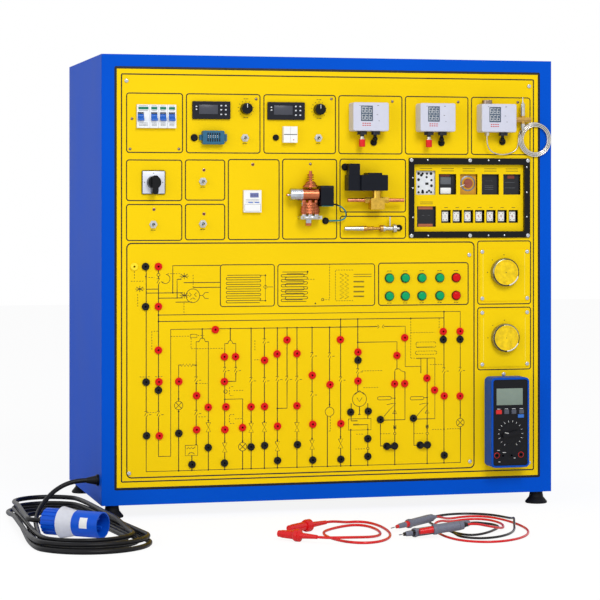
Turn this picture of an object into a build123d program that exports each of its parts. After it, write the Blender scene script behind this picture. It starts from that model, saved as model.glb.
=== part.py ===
"""Air conditioning trainer: a steel bench cabinet whose front panel carries the electrical
and refrigeration devices of a split air conditioner, with a socket field for patch leads.
Millimetres. X runs to the viewer's right, the front faces -Y, Z is up from the floor."""

from build123d import *
import math
import os

os.makedirs("parts", exist_ok=True)

# Cabinet
cabinet_width = 914
cabinet_depth = 430
cabinet_height = 866
steel = 1.5
corner_radius = 2
foot_height = 25
foot_radius = 22
foot_neck_radius = 13
foot_inset = 24
bolt_radius = 4
bolt_head_radius = 7
bolt_head = 4
bolt_recess = 12
bolt_nut = 6.5
frame_side = 26
frame_top = 24.5
frame_bottom = 30.5
rear_border = 34
rear_overlap = 14
louvre_radius = 5
louvre_length = 150
louvre_rows = 9
louvre_pitch = 42

# Front panel
panel_thickness = 3
panel_gap = 2
panel_seat = 30
fit = 0.2
seat_gap = 0.3

# The front plane lies where the box of the whole trainer is centred on the origin
meter_front = 48
front_y = -(cabinet_depth + steel + louvre_radius - meter_front) / 2
rear_y = front_y + cabinet_depth
top_z = foot_height + cabinet_height
opening_width = cabinet_width - 2 * frame_side
opening_height = cabinet_height - frame_top - frame_bottom
opening_z = foot_height + frame_bottom + opening_height / 2
panel_width = opening_width - 2 * panel_gap
panel_height = opening_height - 2 * panel_gap

panel_top = opening_z + opening_height / 2
panel_bottom = opening_z - opening_height / 2

# The devices stand in rows, which were measured on a cabinet of this height
measured_height = 866


def row(height):
    """Height of a row of devices above the floor, in proportion to the cabinet."""
    return height * cabinet_height / measured_height


# Screws: two at the top edge of the panel, four lower down
screw_radius = 2
screw_head_radius = 4
screw_head = 2
socket_hex = 1.5
panel_screws = [(-409, panel_top - 26.5), (409, panel_top - 26.5), (-404, panel_bottom + 30.5),
                (409, panel_bottom + 28.5), (282.5, row(502)), (284, panel_bottom + 34.5)]

# Circuit breakers
breaker_x = [-377.3, -356.2, -338.9, -321.6]
breaker_widths = [24.6, 16.9, 16.9, 16.9]
breaker_lever_x = [-382.3, -356.2, -338.9, -321.6]
breaker_z = row(772)
breaker_nose = 45
breaker_proud = 8
breaker_body_height = 84
breaker_body_depth = 50
breaker_shoulder = 4
lever_width = 11.8
lever_slot_height = 16
lever_slot_depth = 11
lever_barrel = 4.6
lever_sink = 4
lever_reach = 12.5
lever_blade = 4.2
lever_swing = 40

# Rails that carry the snap-on devices
rail_height = 35
rail_depth = 7.5
rail_sheet = 1
rail_post = 6

# Temperature controllers and potentiometers
controller_x = [-243, -94]
controller_z = row(785)
controller_face = (75, 34.5)
controller_proud = 5
controller_body = (70.5, 28.5)
controller_body_depth = 65
display_face = (38.5, 19)
display_offset = -6
display_sink = 1
knob_x = [-174, -27]
knob_z = row(788.7)
knob_radius = 11.6
knob_height = 15
knob_clear = 0.8
spindle_radius = 3
spindle_sink = 8

# Toggle switches
toggle_places = [(-176, row(732)), (-28.6, row(733)), (-259.5, row(647)), (-356.9, row(564)),
                 (-259.5, row(565))]
toggle_bush_radius = 6
toggle_nut = 14
toggle_nut_height = 2.5
toggle_bush_proud = 6
toggle_bore = 3.1
toggle_ball = 2.6
toggle_reach = 15
toggle_tip = 2.4
toggle_neck = 1.2
toggle_tilt = 12.5
toggle_body = (13, 24, 22)

# Cam switch
cam_x = -356.5
cam_z = row(645)
cam_plate = 46
cam_plate_thick = 3
cam_knob_radius = 13.3
cam_knob_height = 13
cam_grip = (12, 36, 7)
cam_body = 44
cam_body_depth = 62

# Meters on the panel
energy_x = -162.2
energy_z = row(608.7)
energy_face = (35, 43)
energy_proud = 8
module_x = -87.3
module_z = row(739)
module_face = (27.7, 31.6)
module_proud = 12
sensor_x = -240.5
sensor_z = row(732)
sensor_face = (43, 26.7)
sensor_proud = 14
sensor_slots = 6

# Relay window, the tallest device of the panel: the height left over is shared about it
relay_x = 283.5
relay_z = 615.5 + (cabinet_height - measured_height) / 2
relay_frame_face = (254, 158.8)
relay_top = relay_z + relay_frame_face[1] / 2
relay_bottom = relay_z - relay_frame_face[1] / 2

# Pressure switches and thermostat, in the row above the relay window
case_z = relay_top + 79.6
case_places = [(70.5, case_z), (207.8, case_z), (335.2, case_z)]
case_face = (72.7, 56)
case_depth = 32
case_radius = 4
window_face = (24.4, 30.5)
window_x = -8.7
window_z = 6.5
window_sink = 2
fitting_left = -14.2
fitting_right = 13.8
fitting_out = 16
fitting_nut = 17
fitting_nut_height = 6.8
thread_radius = 4
thread_length = 8
cap_radius = 6.2
cap_length = 16
conduit_nut_radius = 9
thermostat_knob_x = -20.5
thermostat_knob_radius = 10.5
thermostat_knob_height = 7.4

# Capillary and its bulb
capillary_diameter = 2.4
capillary_pitch = 2.9
capillary_turns = 3
capillary_outer = 34.5
capillary_centre = (420.5, case_z - 41.5)
bulb_x = 391
bulb_out = 13
bulb_radius = 4.5
bulb_fitting_z = case_z - 2.5
bulb_fitting_length = 34
bulb_bottom = bulb_fitting_z - 22
bulb_shoulder = bulb_fitting_z + 31
bulb_tip = bulb_fitting_z + 45
bulb_stem = 1.3

# Probe in its own frame
probe_z = row(555.3)
probe_out = 11
probe_boss = 8
probe_boss_x = 99
probe_tail_x = 115

# Four-way valve
valve_z = row(622)
valve_out = 18
valve_left = -91
valve_right = -31.5
valve_radius = 12.2
pipe_radius = 5
pipe_x = [-62, -49.5, -37]
discharge_x = -48.7
discharge_top = valve_z + 46
bracket_z = valve_z - 45
bracket_face = (43, 6.6)
coil_block = (25.6, 40.8, 33)

# Solenoid valve
solenoid_x = 84
solenoid_out = 22
solenoid_z = row(604)
solenoid_body = (27.4, 22.2, 20)
stub_radius = 3.6
stub_left = 25.3
stub_right = 140
stub_z = solenoid_z + 7
stem_radius = 8
union_nut = 6.5
union_span = 48
solenoid_coil = (54, 31, 34)
solenoid_coil_left = 49
solenoid_coil_z = solenoid_z + 41
solenoid_lid = (28, 5)
connector_block = (24.5, 31, 28)
connector_tower = (21.7, 22)
connector_tower_left = 26.6

# Wire grommets: place on the panel, radius
grommets = [(-276.6, row(731.7), 7), (-114.3, row(733), 6), (84.2, case_z - 49.5, 6.5),
            (224.1, case_z - 49.5, 6.5), (352.2, case_z - 46.5, 6.5), (-14.1, row(570.5), 6.5),
            (25.5, row(676.2), 7), (136.4, row(556.3), 6.2)]
coil_grommet = grommets[5]

# Relay window: what its plate holds
relay_window = (231.4, 133.5)
relay_frame_proud = 3
relay_frame_wall = 1.5
relay_plate_sink = 6
relay_plate_thick = 2
relay_ledge = 4
relay_screws = [(-122, 75), (0, 75), (122, 75), (-122, -75), (0, -75), (122, -75)]
contactor_cut = (40, 48)
contactor_x = 194.2
contactor_z = relay_z + 30.5
overload_x = 195.5
overload_z = relay_z - 36.9
overload_cut = (39.5, 41)
relay_cut = (36.5, 41)
relay_cut_x = [239.5, 284, 329.4, 375]
relay_cut_z = relay_z + 27.3
small_cut = (20, 25.8)
small_first_x = 236.2
small_pitch = 23.65
small_count = 7
small_z = relay_z - 36.8
device_sink = 13
device_depth = 60
timer_radius = 9
timer_height = 3.5

# Signal lamps
lamp_x = [116.6, 149.3, 183.7, 220.9, 255.1]
lamp_z = [row(457), row(421.5)]
lamp_bezel = 9.5
lamp_barrel = 8
lamp_bezel_height = 2.5
lamp_lens_height = 5
lamp_body_depth = 32

# Right column below the relay window: two dial plates and the multimeter. The height that
# they leave free is shared out between them.
boot_face = (80, 178.6)
plate_width = 104
plate_heights = (104, 114)
column_free = relay_bottom - panel_bottom - sum(plate_heights) - boot_face[1] - 2
upper_plate_z = relay_bottom - 0.2756 * column_free - plate_heights[0] / 2
lower_plate_z = upper_plate_z - (sum(plate_heights)) / 2 - 0.2171 * column_free
meter_z = lower_plate_z - (plate_heights[1] + boot_face[1]) / 2 - 0.2293 * column_free

# Large dials
dial_places = [(355.5, upper_plate_z + 5.5), (356.5, lower_plate_z + 1.3)]
dial_plates = [(357, upper_plate_z, plate_width, plate_heights[0]),
               (357, lower_plate_z, plate_width, plate_heights[1])]
dial_plate_thick = 1.5
dial_screw_inset = (4.6, 5.4)
dial_radius = 28.4
dial_height = 14
dial_spindle = 4
transformer_radius = 40
transformer_depth = 52

# Multimeter
meter_x = 355.1
boot_depth = 42
boot_wall = 4
boot_radius = 9
screen_face = (55.6, 33.7)
screen_z = meter_z + 51.4
key_z = meter_z + 21.4
key_x = [330.8, 346.9, 362.2, 378.1]
red_key = (11.9, 8.3)
grey_key = (9.8, 8.3)
blue_key = (12.4, 6.8)
blue_key_place = (376.9, meter_z + 12.7)
key_proud = 1.6
key_travel = 1
key_sink = 4
selector_x = 355.5
selector_z = meter_z - 22.1
selector_radius = 20.6
selector_sink = 2.5
selector_bar = (37, 8)
meter_sockets = [(326.9, meter_z - 64.6), (339.2, meter_z - 65.6), (357.7, meter_z - 65.2),
                 (377.2, meter_z - 64.1)]
meter_socket_radius = 4.6
hanger_z = meter_z + boot_face[1] / 2 + screw_head_radius + 0.1

# Banana sockets of the wiring diagram
red_places = [
    (-347, 483), (-347, 406), (-347, 322), (-346, 261), (-307, 261), (-345, 157), (-272, 233),
    (-272, 167), (-249, 210), (-235, 360), (-217, 307), (-195, 307), (-217, 259), (-214, 210),
    (-216, 166), (-181, 169), (-164, 209), (-137, 299), (-137, 209), (-112, 311), (-111, 170),
    (-92, 338), (-72, 311), (-72, 209), (-41, 268), (-40, 172), (-5, 249), (16, 337), (17, 172),
    (52, 312), (52, 255), (127, 248), (148, 248), (132, 304), (148, 339), (194, 258), (210, 234),
    (228, 350), (263, 350), (230, 222), (263, 221)]
black_places = [
    (-372, 483), (-372, 406), (-371, 261), (-347, 245), (-370, 158), (-307, 161), (-281, 100),
    (-249, 132), (-217, 101), (-164, 131), (-137, 133), (-111, 103), (-71, 133), (-40, 102),
    (17, 102), (37, 194), (73, 195), (72, 141), (72, 106), (52, 296), (98, 178), (166, 179),
    (230, 104), (228, 334), (263, 334), (111, 125), (127, 125), (180, 125.5), (195, 125.5),
    (-394, 483)]
link_pairs = [(111, 127, 125), (180, 195, 125.5)]
socket_radius = 7.3
socket_proud = 4
socket_bore = 2.05
socket_barrel = 4.6
socket_length = 22
socket_nut = 10
link_face = (23, 7)
link_height = 6

# Mains cable
cable_diameter = 9
gland_y = 35
gland_z = 71
gland_base = 9
gland_flange = 5
gland_length = 24
layer_pitch = 9.8
plug_height = 29
plug_direction = (0.757, -0.653, 0)
plug_sizes = {"relief": 14, "handle": 34, "collar": 30, "shroud": 54}
plug_radius = {"relief": 8, "handle": 24, "collar": 28.5, "shroud": 23.4}
plug_pin = 2.5
plug_pin_length = 40
plug_floor = 5

# Patch and test leads
patch_diameter = 5
test_diameter = 4.4


def front(out=0.0):
    """Plane parallel to the front panel, facing the viewer, this far out of its face."""
    return Plane.XZ.offset(out - front_y)


def save(piece, name):
    piece.part.label = name
    export_step(piece.part, f"parts/{name}.step")


def route_radii(points):
    """Arc radii of a cord's route, as large as the runs beside each corner allow."""
    radii = []
    for before, here, after in zip(points, points[1:], points[2:]):
        run_in = Vector(*here) - Vector(*before)
        run_out = Vector(*after) - Vector(*here)
        turn = math.radians(run_in.get_angle(run_out))
        shorter = min(run_in.length, run_out.length)
        radii.append(0.45 * shorter / math.tan(turn / 2))
    return radii


def cord_tube(points, diameter, name):
    """Round tube along straight runs joined by tangent arcs."""
    radii = route_radii(points)
    with BuildPart() as tube:
        with BuildLine() as route:
            FilletPolyline(*points, radius=radii)
        with BuildSketch(Plane(origin=route.line @ 0, z_dir=route.line % 0)):
            Circle(diameter / 2)
        sweep()
    expected = math.pi * diameter**2 / 4 * route.wire().length
    print(f"{name}: {route.wire().length:.0f} mm, least radius {min(radii):.1f} mm,"
          f" volume ratio {tube.part.volume / expected:.4f}")
    return tube


# Cabinet shell: folded and welded sheet steel with a seat for the panel behind its front frame
with BuildPart() as cabinet_shell:
    with BuildSketch(Plane.XY.offset(foot_height)):
        with Locations((0, (front_y + rear_y) / 2)):
            Rectangle(cabinet_width, cabinet_depth)
    extrude(amount=cabinet_height)
    fillet(cabinet_shell.edges().filter_by(Axis.Z), corner_radius)
    with BuildSketch(Plane.XY.offset(foot_height + steel)):
        with Locations((0, (front_y + rear_y) / 2)):
            Rectangle(cabinet_width - 2 * steel, cabinet_depth - 2 * steel)
    extrude(amount=cabinet_height - 2 * steel, mode=Mode.SUBTRACT)
    with BuildSketch(front()):
        with Locations((0, opening_z)):
            Rectangle(opening_width + 2 * steel, opening_height + 2 * steel)
    extrude(amount=-panel_thickness - steel)
    with BuildSketch(front()):
        with Locations((0, opening_z)):
            Rectangle(opening_width, opening_height)
    extrude(amount=-panel_thickness, mode=Mode.SUBTRACT)
    with BuildSketch(front()):
        with Locations((0, opening_z)):
            Rectangle(opening_width - 2 * panel_seat, opening_height - 2 * panel_seat)
    extrude(amount=-panel_thickness - steel, mode=Mode.SUBTRACT)
    with BuildSketch(Plane.XZ.offset(-rear_y)):
        with Locations((0, foot_height + cabinet_height / 2)):
            Rectangle(cabinet_width - 2 * rear_border, cabinet_height - 2 * rear_border)
    extrude(amount=steel, mode=Mode.SUBTRACT)
    with BuildSketch(Plane.YZ.offset(-cabinet_width / 2)):
        with Locations((front_y + gland_y, gland_z)):
            Circle(gland_base + fit)
    extrude(amount=steel, mode=Mode.SUBTRACT)

foot_x = cabinet_width / 2 - foot_inset
foot_places = [(sx * foot_x, y) for sx in (-1, 1) for y in (front_y + foot_inset, rear_y - foot_inset)]
rear_screw_x = cabinet_width / 2 - (rear_border + rear_overlap) / 2
rear_screw_z = cabinet_height / 2 - (rear_border + rear_overlap) / 2
rear_screws = [(x, foot_height + cabinet_height / 2 + z)
               for x in (-rear_screw_x, 0, rear_screw_x) for z in (-rear_screw_z, rear_screw_z)]
rear_screws += [(x, foot_height + cabinet_height / 2) for x in (-rear_screw_x, rear_screw_x)]
dial_screws = [(x + sx * (width / 2 - dial_screw_inset[0]), z + sz * (height / 2 - dial_screw_inset[1]))
               for x, z, width, height in dial_plates for sx in (-1, 1) for sz in (-1, 1)]

with BuildPart() as cabinet_holes:
    with BuildSketch(Plane.XY.offset(foot_height)):
        with Locations(*foot_places):
            Circle(bolt_radius + fit)
    extrude(amount=steel)
    with BuildSketch(Plane.XZ.offset(-rear_y)):
        with Locations(*rear_screws):
            Circle(screw_radius + fit)
    extrude(amount=steel)
    with BuildSketch(front(-panel_thickness)):
        with Locations(*panel_screws, *dial_screws):
            Circle(screw_radius + fit)
    extrude(amount=-steel)
with BuildPart() as cabinet_drilled:
    add(cabinet_shell.part)
    add(cabinet_holes.part, mode=Mode.SUBTRACT)
save(cabinet_drilled, "cabinet_shell")

# Rear cover: a flat sheet laid over the rear opening, with rows of pressed louvres
with BuildPart() as rear_cover:
    cover_width = cabinet_width - 2 * rear_overlap
    cover_height = cabinet_height - 2 * rear_overlap
    middle_z = foot_height + cabinet_height / 2
    with BuildSketch(Plane.XZ.offset(-rear_y - steel)):
        with Locations((0, middle_z)):
            RectangleRounded(cover_width, cover_height, 6)
        with Locations(*rear_screws):
            Circle(screw_radius + fit, mode=Mode.SUBTRACT)
    extrude(amount=steel)
    louvre_places = [(side * cover_width / 4, middle_z + (row - (louvre_rows - 1) / 2) * louvre_pitch)
                     for side in (-1, 1) for row in range(louvre_rows)]
    with BuildSketch(Plane.XZ.offset(-rear_y - steel)):
        with Locations(*louvre_places):
            Rectangle(louvre_length, 2 * louvre_radius - 2 * steel)
    extrude(amount=steel, mode=Mode.SUBTRACT)
    for x, z in louvre_places:
        with BuildSketch(Plane.YZ.offset(x - louvre_length / 2)):
            with BuildLine():
                outer = CenterArc((rear_y + steel, z), louvre_radius, 0, 90)
                inner = CenterArc((rear_y + steel, z), louvre_radius - steel, 0, 90)
                Line(outer @ 0, inner @ 0)
                Line(outer @ 1, inner @ 1)
            make_face()
        extrude(amount=louvre_length)
save(rear_cover, "rear_cover")

# Rubber feet: bell shaped, each with a recess for its bolt head
with BuildPart() as rubber_feet:
    with BuildSketch(Plane.XZ):
        with BuildLine():
            Polyline((0, foot_height), (0, 0), (foot_radius - 1, 0), (foot_radius, 1),
                     (foot_radius, 3.5))
            Line((foot_radius, 3.5), (foot_neck_radius + 1.5, foot_height * 0.5))
            Line((foot_neck_radius + 1.5, foot_height * 0.5), (foot_neck_radius, foot_height - 4))
            Line((foot_neck_radius, foot_height - 4), (foot_neck_radius, foot_height))
            Line((foot_neck_radius, foot_height), (0, foot_height))
        make_face()
    revolve(axis=Axis.Z)
    with BuildSketch():
        Circle(bolt_head_radius + 1)
    extrude(amount=bolt_recess, mode=Mode.SUBTRACT)
    with BuildSketch():
        Circle(bolt_radius + fit)
    extrude(amount=foot_height, mode=Mode.SUBTRACT)
one_foot = rubber_feet.part
with BuildPart() as rubber_feet:
    with Locations(*[(x, y, 0) for x, y in foot_places]):
        add(one_foot)
save(rubber_feet, "rubber_feet")

# Front panel: every opening follows the device that passes through it
lamp_places = [(x, z) for x in lamp_x for z in lamp_z]
small_x = [small_first_x + small_pitch * i for i in range(small_count)]
breaker_left = breaker_x[0] - breaker_widths[0] / 2
breaker_right = breaker_x[-1] + breaker_widths[-1] / 2
relay_recess = (relay_window[0] + 2 * relay_frame_wall, relay_window[1] + 2 * relay_frame_wall)
frame_screws = [(relay_x + x, relay_z + z) for x, z in relay_screws]
with BuildPart() as front_panel:
    with BuildSketch(front(-panel_thickness)):
        with Locations((0, opening_z)):
            RectangleRounded(panel_width, panel_height, 2)
        with Locations(((breaker_left + breaker_right) / 2, breaker_z)):
            Rectangle(breaker_right - breaker_left + 2 * seat_gap, breaker_nose + 2 * seat_gap,
                      mode=Mode.SUBTRACT)
        with Locations(*[(x, controller_z) for x in controller_x]):
            Rectangle(controller_body[0] + 2 * seat_gap, controller_body[1] + 2 * seat_gap,
                      mode=Mode.SUBTRACT)
        with Locations(*[(x, knob_z) for x in knob_x], *dial_places):
            Circle(5 + fit, mode=Mode.SUBTRACT)
        with Locations(*toggle_places):
            Circle(toggle_bush_radius + fit, mode=Mode.SUBTRACT)
        with Locations((cam_x, cam_z)):
            Circle(cam_knob_radius * 0.6 + fit, mode=Mode.SUBTRACT)
        with Locations((energy_x, energy_z)):
            Rectangle(energy_face[0] + 2 * seat_gap, energy_face[1] + 2 * seat_gap,
                      mode=Mode.SUBTRACT)
        with Locations((relay_x, relay_z)):
            Rectangle(relay_recess[0] + 2 * seat_gap, relay_recess[1] + 2 * seat_gap,
                      mode=Mode.SUBTRACT)
        with Locations(*lamp_places):
            Circle(lamp_barrel + fit, mode=Mode.SUBTRACT)
        with Locations(*red_places, *black_places):
            Circle(socket_barrel + fit, mode=Mode.SUBTRACT)
        with Locations(*[(x, z) for x, z, r in grommets]):
            Circle(3 + fit, mode=Mode.SUBTRACT)
        with Locations(*panel_screws, *dial_screws, *frame_screws, (meter_x, hanger_z)):
            Circle(screw_radius + fit, mode=Mode.SUBTRACT)
    extrude(amount=panel_thickness)
save(front_panel, "front_panel")

# Screws and foot bolts
with BuildPart() as panel_screw:
    with BuildSketch(Plane.XZ):
        Circle(screw_head_radius)
    extrude(amount=screw_head)
    fillet(panel_screw.faces().sort_by(Axis.Y)[0].edges(), screw_head * 0.6)
    with BuildSketch(Plane.XZ.offset(screw_head)):
        RegularPolygon(socket_hex, 6)
    extrude(amount=-screw_head / 2, mode=Mode.SUBTRACT)
    with BuildSketch(Plane.XZ):
        Circle(screw_radius)
    extrude(amount=-panel_thickness - steel - 1)
with BuildPart() as foot_bolt:
    with BuildSketch(Plane.XY.offset(bolt_recess - bolt_head)):
        Circle(bolt_head_radius)
        RegularPolygon(2.5, 6, mode=Mode.SUBTRACT)
    extrude(amount=bolt_head)
    with BuildSketch(Plane.XY.offset(bolt_recess - 1)):
        Circle(bolt_radius)
    extrude(amount=foot_height - bolt_recess + 1 + steel + 9)
with BuildPart() as foot_nut:
    with BuildSketch(Plane.XY.offset(foot_height + steel)):
        RegularPolygon(7.5, 6)
        Circle(bolt_radius + fit, mode=Mode.SUBTRACT)
    extrude(amount=bolt_nut)
with BuildPart() as fasteners:
    for places, out in ((panel_screws, 0), (dial_screws, dial_plate_thick),
                        (frame_screws, relay_frame_proud), ([(meter_x, hanger_z)], 0)):
        with Locations(*[(x, front_y - out, z) for x, z in places]):
            add(panel_screw.part)
    with Locations(*[Location((x, rear_y + steel, z), (0, 0, 180)) for x, z in rear_screws]):
        add(panel_screw.part)
    with Locations(*[(x, y, 0) for x, y in foot_places]):
        add(foot_bolt.part)
        add(foot_nut.part)
save(fasteners, "fasteners")

# Snap-on breakers: a stepped body behind the panel whose nose stands through it
nose_back = -panel_thickness - breaker_shoulder
body_back = nose_back - breaker_body_depth
rail_front = body_back


def stepped_body(x, z, width, nose, proud, body_height):
    """Body of a snap-on device, as an outline seen from the side and given its width."""
    y0 = front_y - proud
    y1 = front_y - nose_back
    y2 = front_y - body_back
    with BuildPart() as body:
        with BuildSketch(Plane.YZ.offset(x - width / 2)):
            with BuildLine():
                Polyline((y0, z - nose / 2), (y0, z + nose / 2), (y1, z + nose / 2),
                         (y1, z + body_height / 2), (y2, z + body_height / 2),
                         (y2, z - body_height / 2), (y1, z - body_height / 2),
                         (y1, z - nose / 2), (y0, z - nose / 2))
            make_face()
        extrude(amount=width)
    return body.part


with BuildPart() as breaker_bodies:
    for x, width in zip(breaker_x, breaker_widths):
        add(stepped_body(x, breaker_z, width, breaker_nose, breaker_proud, breaker_body_height))
    with BuildSketch(front(breaker_proud)):
        with Locations(*[(x, breaker_z) for x in breaker_lever_x]):
            Rectangle(lever_width + 2 * seat_gap, lever_slot_height)
    extrude(amount=-lever_slot_depth, mode=Mode.SUBTRACT)
save(breaker_bodies, "breaker_bodies")

lever_axis_y = front_y - breaker_proud + lever_sink


def breaker_lever(x):
    """Lever on its barrel, resting down in the off position."""
    with BuildPart() as lever:
        with BuildSketch(Plane.YZ.offset(x - lever_width / 2)):
            with Locations((lever_axis_y, breaker_z)):
                Circle(lever_barrel)
            with Locations(Location((lever_axis_y, breaker_z), lever_swing)):
                with Locations((-lever_reach / 2, 0)):
                    SlotCenterToCenter(lever_reach - lever_blade, lever_blade)
        extrude(amount=lever_width)
    return lever


lever_names = ["rccb_lever", "breaker_lever_1", "breaker_lever_2", "breaker_lever_3"]
for name, x in zip(lever_names, breaker_lever_x):
    save(breaker_lever(x), name)

# Mounting rails on posts behind the panel
frame_return = relay_plate_sink + relay_plate_thick + 2
relay_rail = relay_recess[0]
rail_sets = [((breaker_left + breaker_right) / 2, breaker_z, 98, -panel_thickness),
             (energy_x, energy_z, 60, -panel_thickness),
             (relay_x, relay_cut_z, relay_rail, -frame_return),
             (relay_x, small_z, relay_rail, -frame_return)]


def mounting_rail(x, z, length, post_front):
    """Hat-section rail with a post at each end that reaches forward."""
    y0 = front_y - rail_front
    half = rail_height / 2
    inner = half - 4
    with BuildPart() as rail:
        with BuildSketch(Plane.YZ.offset(x - length / 2)):
            with BuildLine():
                Polyline((y0, z - half), (y0, z - inner), (y0 + rail_depth, z - inner),
                         (y0 + rail_depth, z + inner), (y0, z + inner), (y0, z + half),
                         (y0 + rail_sheet, z + half), (y0 + rail_sheet, z + inner + rail_sheet),
                         (y0 + rail_depth + rail_sheet, z + inner + rail_sheet),
                         (y0 + rail_depth + rail_sheet, z - inner - rail_sheet),
                         (y0 + rail_sheet, z - inner - rail_sheet), (y0 + rail_sheet, z - half),
                         (y0, z - half))
            make_face()
        extrude(amount=length)
        with BuildSketch(front(post_front)):
            with Locations((x - length / 2 + rail_post / 2, z),
                           (x + length / 2 - rail_post / 2, z)):
                Rectangle(rail_post, rail_post)
        extrude(amount=rail_front - post_front - rail_depth)
    return rail.part


with BuildPart() as din_rails:
    for x, z, length, post_front in rail_sets:
        add(mounting_rail(x, z, length, post_front))
save(din_rails, "din_rails")

# Temperature controllers with their displays
with BuildPart() as temperature_controllers:
    with BuildSketch(front()):
        with Locations(*[(x, controller_z) for x in controller_x]):
            RectangleRounded(*controller_face, 2)
    extrude(amount=controller_proud)
    fillet(temperature_controllers.faces().sort_by(Axis.Y)[0:2].edges(), 1)
    with BuildSketch(front()):
        with Locations(*[(x, controller_z) for x in controller_x]):
            Rectangle(*controller_body)
    extrude(amount=-controller_body_depth)
    with BuildSketch(front(controller_proud)):
        with Locations(*[(x + display_offset, controller_z + 1.5) for x in controller_x]):
            Rectangle(*display_face)
    extrude(amount=-display_sink, mode=Mode.SUBTRACT)
save(temperature_controllers, "temperature_controllers")

# Potentiometer and toggle switch bodies behind the panel, with their bushes and nuts
with BuildPart() as switch_bodies:
    with BuildSketch(front(-panel_thickness)):
        with Locations(*toggle_places):
            Rectangle(toggle_body[0], toggle_body[1])
        with Locations(*[(x, knob_z) for x in knob_x]):
            Circle(12)
    extrude(amount=-toggle_body[2])
    with BuildSketch(front(-panel_thickness)):
        with Locations(*toggle_places):
            Circle(toggle_bush_radius)
    extrude(amount=panel_thickness + toggle_bush_proud)
    with BuildSketch(front()):
        with Locations(*toggle_places):
            RegularPolygon(toggle_nut / 2, 6, major_radius=False)
    extrude(amount=toggle_nut_height)
    with BuildSketch(front(toggle_bush_proud)):
        with Locations(*toggle_places):
            Circle(toggle_bore)
    extrude(amount=-toggle_bush_proud - panel_thickness, mode=Mode.SUBTRACT)
    with BuildSketch(front(-panel_thickness)):
        with Locations(*[(x, knob_z) for x in knob_x]):
            Circle(5)
    extrude(amount=panel_thickness)
    with BuildSketch(front()):
        with Locations(*[(x, knob_z) for x in knob_x]):
            Circle(spindle_radius + fit)
    extrude(amount=-spindle_sink - 1, mode=Mode.SUBTRACT)
    with BuildSketch(front(-panel_thickness)):
        with Locations((cam_x, cam_z)):
            Rectangle(cam_body, cam_body)
    extrude(amount=-cam_body_depth)
    with BuildSketch(front(-panel_thickness)):
        with Locations((cam_x, cam_z)):
            Circle(cam_knob_radius * 0.6)
    extrude(amount=panel_thickness)
    with BuildSketch(front()):
        with Locations((cam_x, cam_z)):
            RectangleRounded(cam_plate, cam_plate, 3)
    extrude(amount=cam_plate_thick)
    with BuildSketch(front(cam_plate_thick)):
        with Locations((cam_x, cam_z)):
            Circle(dial_spindle + fit)
    extrude(amount=-cam_plate_thick - 6, mode=Mode.SUBTRACT)
save(switch_bodies, "switch_bodies")


def control_knob(x):
    """Round potentiometer knob with its spindle."""
    with BuildPart() as knob:
        with BuildSketch(front(knob_clear)):
            with Locations((x, knob_z)):
                Circle(knob_radius)
        extrude(amount=knob_height - knob_clear, taper=4)
        fillet(knob.faces().sort_by(Axis.Y)[0].edges(), 1.5)
        with BuildSketch(front(knob_clear)):
            with Locations((x, knob_z)):
                Circle(spindle_radius)
        extrude(amount=-spindle_sink)
    return knob


save(control_knob(knob_x[0]), "temperature_knob")
save(control_knob(knob_x[1]), "humidity_knob")

toggle_axis_y = front_y - toggle_bush_proud + 3


def toggle_lever(x, z):
    """Bat lever on a ball inside the bush, resting down."""
    with BuildPart() as lever:
        with BuildSketch(Plane.XY):
            with BuildLine():
                Line((0, -toggle_ball), (0, toggle_reach))
                Line((0, toggle_reach), (toggle_tip * 0.7, toggle_reach))
                Line((toggle_tip * 0.7, toggle_reach), (toggle_tip, toggle_reach - 1.5))
                Line((toggle_tip, toggle_reach - 1.5), (toggle_neck, toggle_ball))
                Line((toggle_neck, toggle_ball), (toggle_ball * 0.9, toggle_ball * 0.4))
                Line((toggle_ball * 0.9, toggle_ball * 0.4), (toggle_ball * 0.9, -toggle_ball * 0.4))
                Line((toggle_ball * 0.9, -toggle_ball * 0.4), (0, -toggle_ball))
            make_face()
        revolve(axis=Axis.Y)
    with BuildPart() as placed:
        with Locations(Location((x, toggle_axis_y, z), (180 + toggle_tilt, 0, 0))):
            add(lever.part)
    return placed


for number, (x, z) in enumerate(toggle_places, start=1):
    save(toggle_lever(x, z), f"toggle_lever_{number}")

# Cam switch handle, pointing down
with BuildPart() as cam_switch_handle:
    with BuildSketch(front(cam_plate_thick + seat_gap)):
        with Locations((cam_x, cam_z)):
            Circle(cam_knob_radius)
    extrude(amount=cam_knob_height, taper=3)
    with BuildSketch(front(cam_plate_thick + seat_gap)):
        with Locations((cam_x, cam_z - cam_grip[1] / 2 + cam_knob_radius)):
            RectangleRounded(cam_grip[0], cam_grip[1], cam_grip[0] * 0.4)
    extrude(amount=cam_knob_height + cam_grip[2])
    with BuildSketch(front(cam_plate_thick + seat_gap)):
        with Locations((cam_x, cam_z)):
            Circle(dial_spindle)
    extrude(amount=-cam_plate_thick - 5)
save(cam_switch_handle, "cam_switch_handle")

# Energy meter on its rail, and the small two-part module on the panel
with BuildPart() as din_modules:
    add(stepped_body(energy_x, energy_z, energy_face[0], energy_face[1], energy_proud,
                     breaker_body_height))
    for side in (-1, 1):
        with BuildSketch(front()):
            with Locations((module_x + side * (module_face[0] / 4 + fit / 2), module_z)):
                Rectangle(module_face[0] / 2 - fit, module_face[1])
        extrude(amount=module_proud)
save(din_modules, "din_modules")

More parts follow.
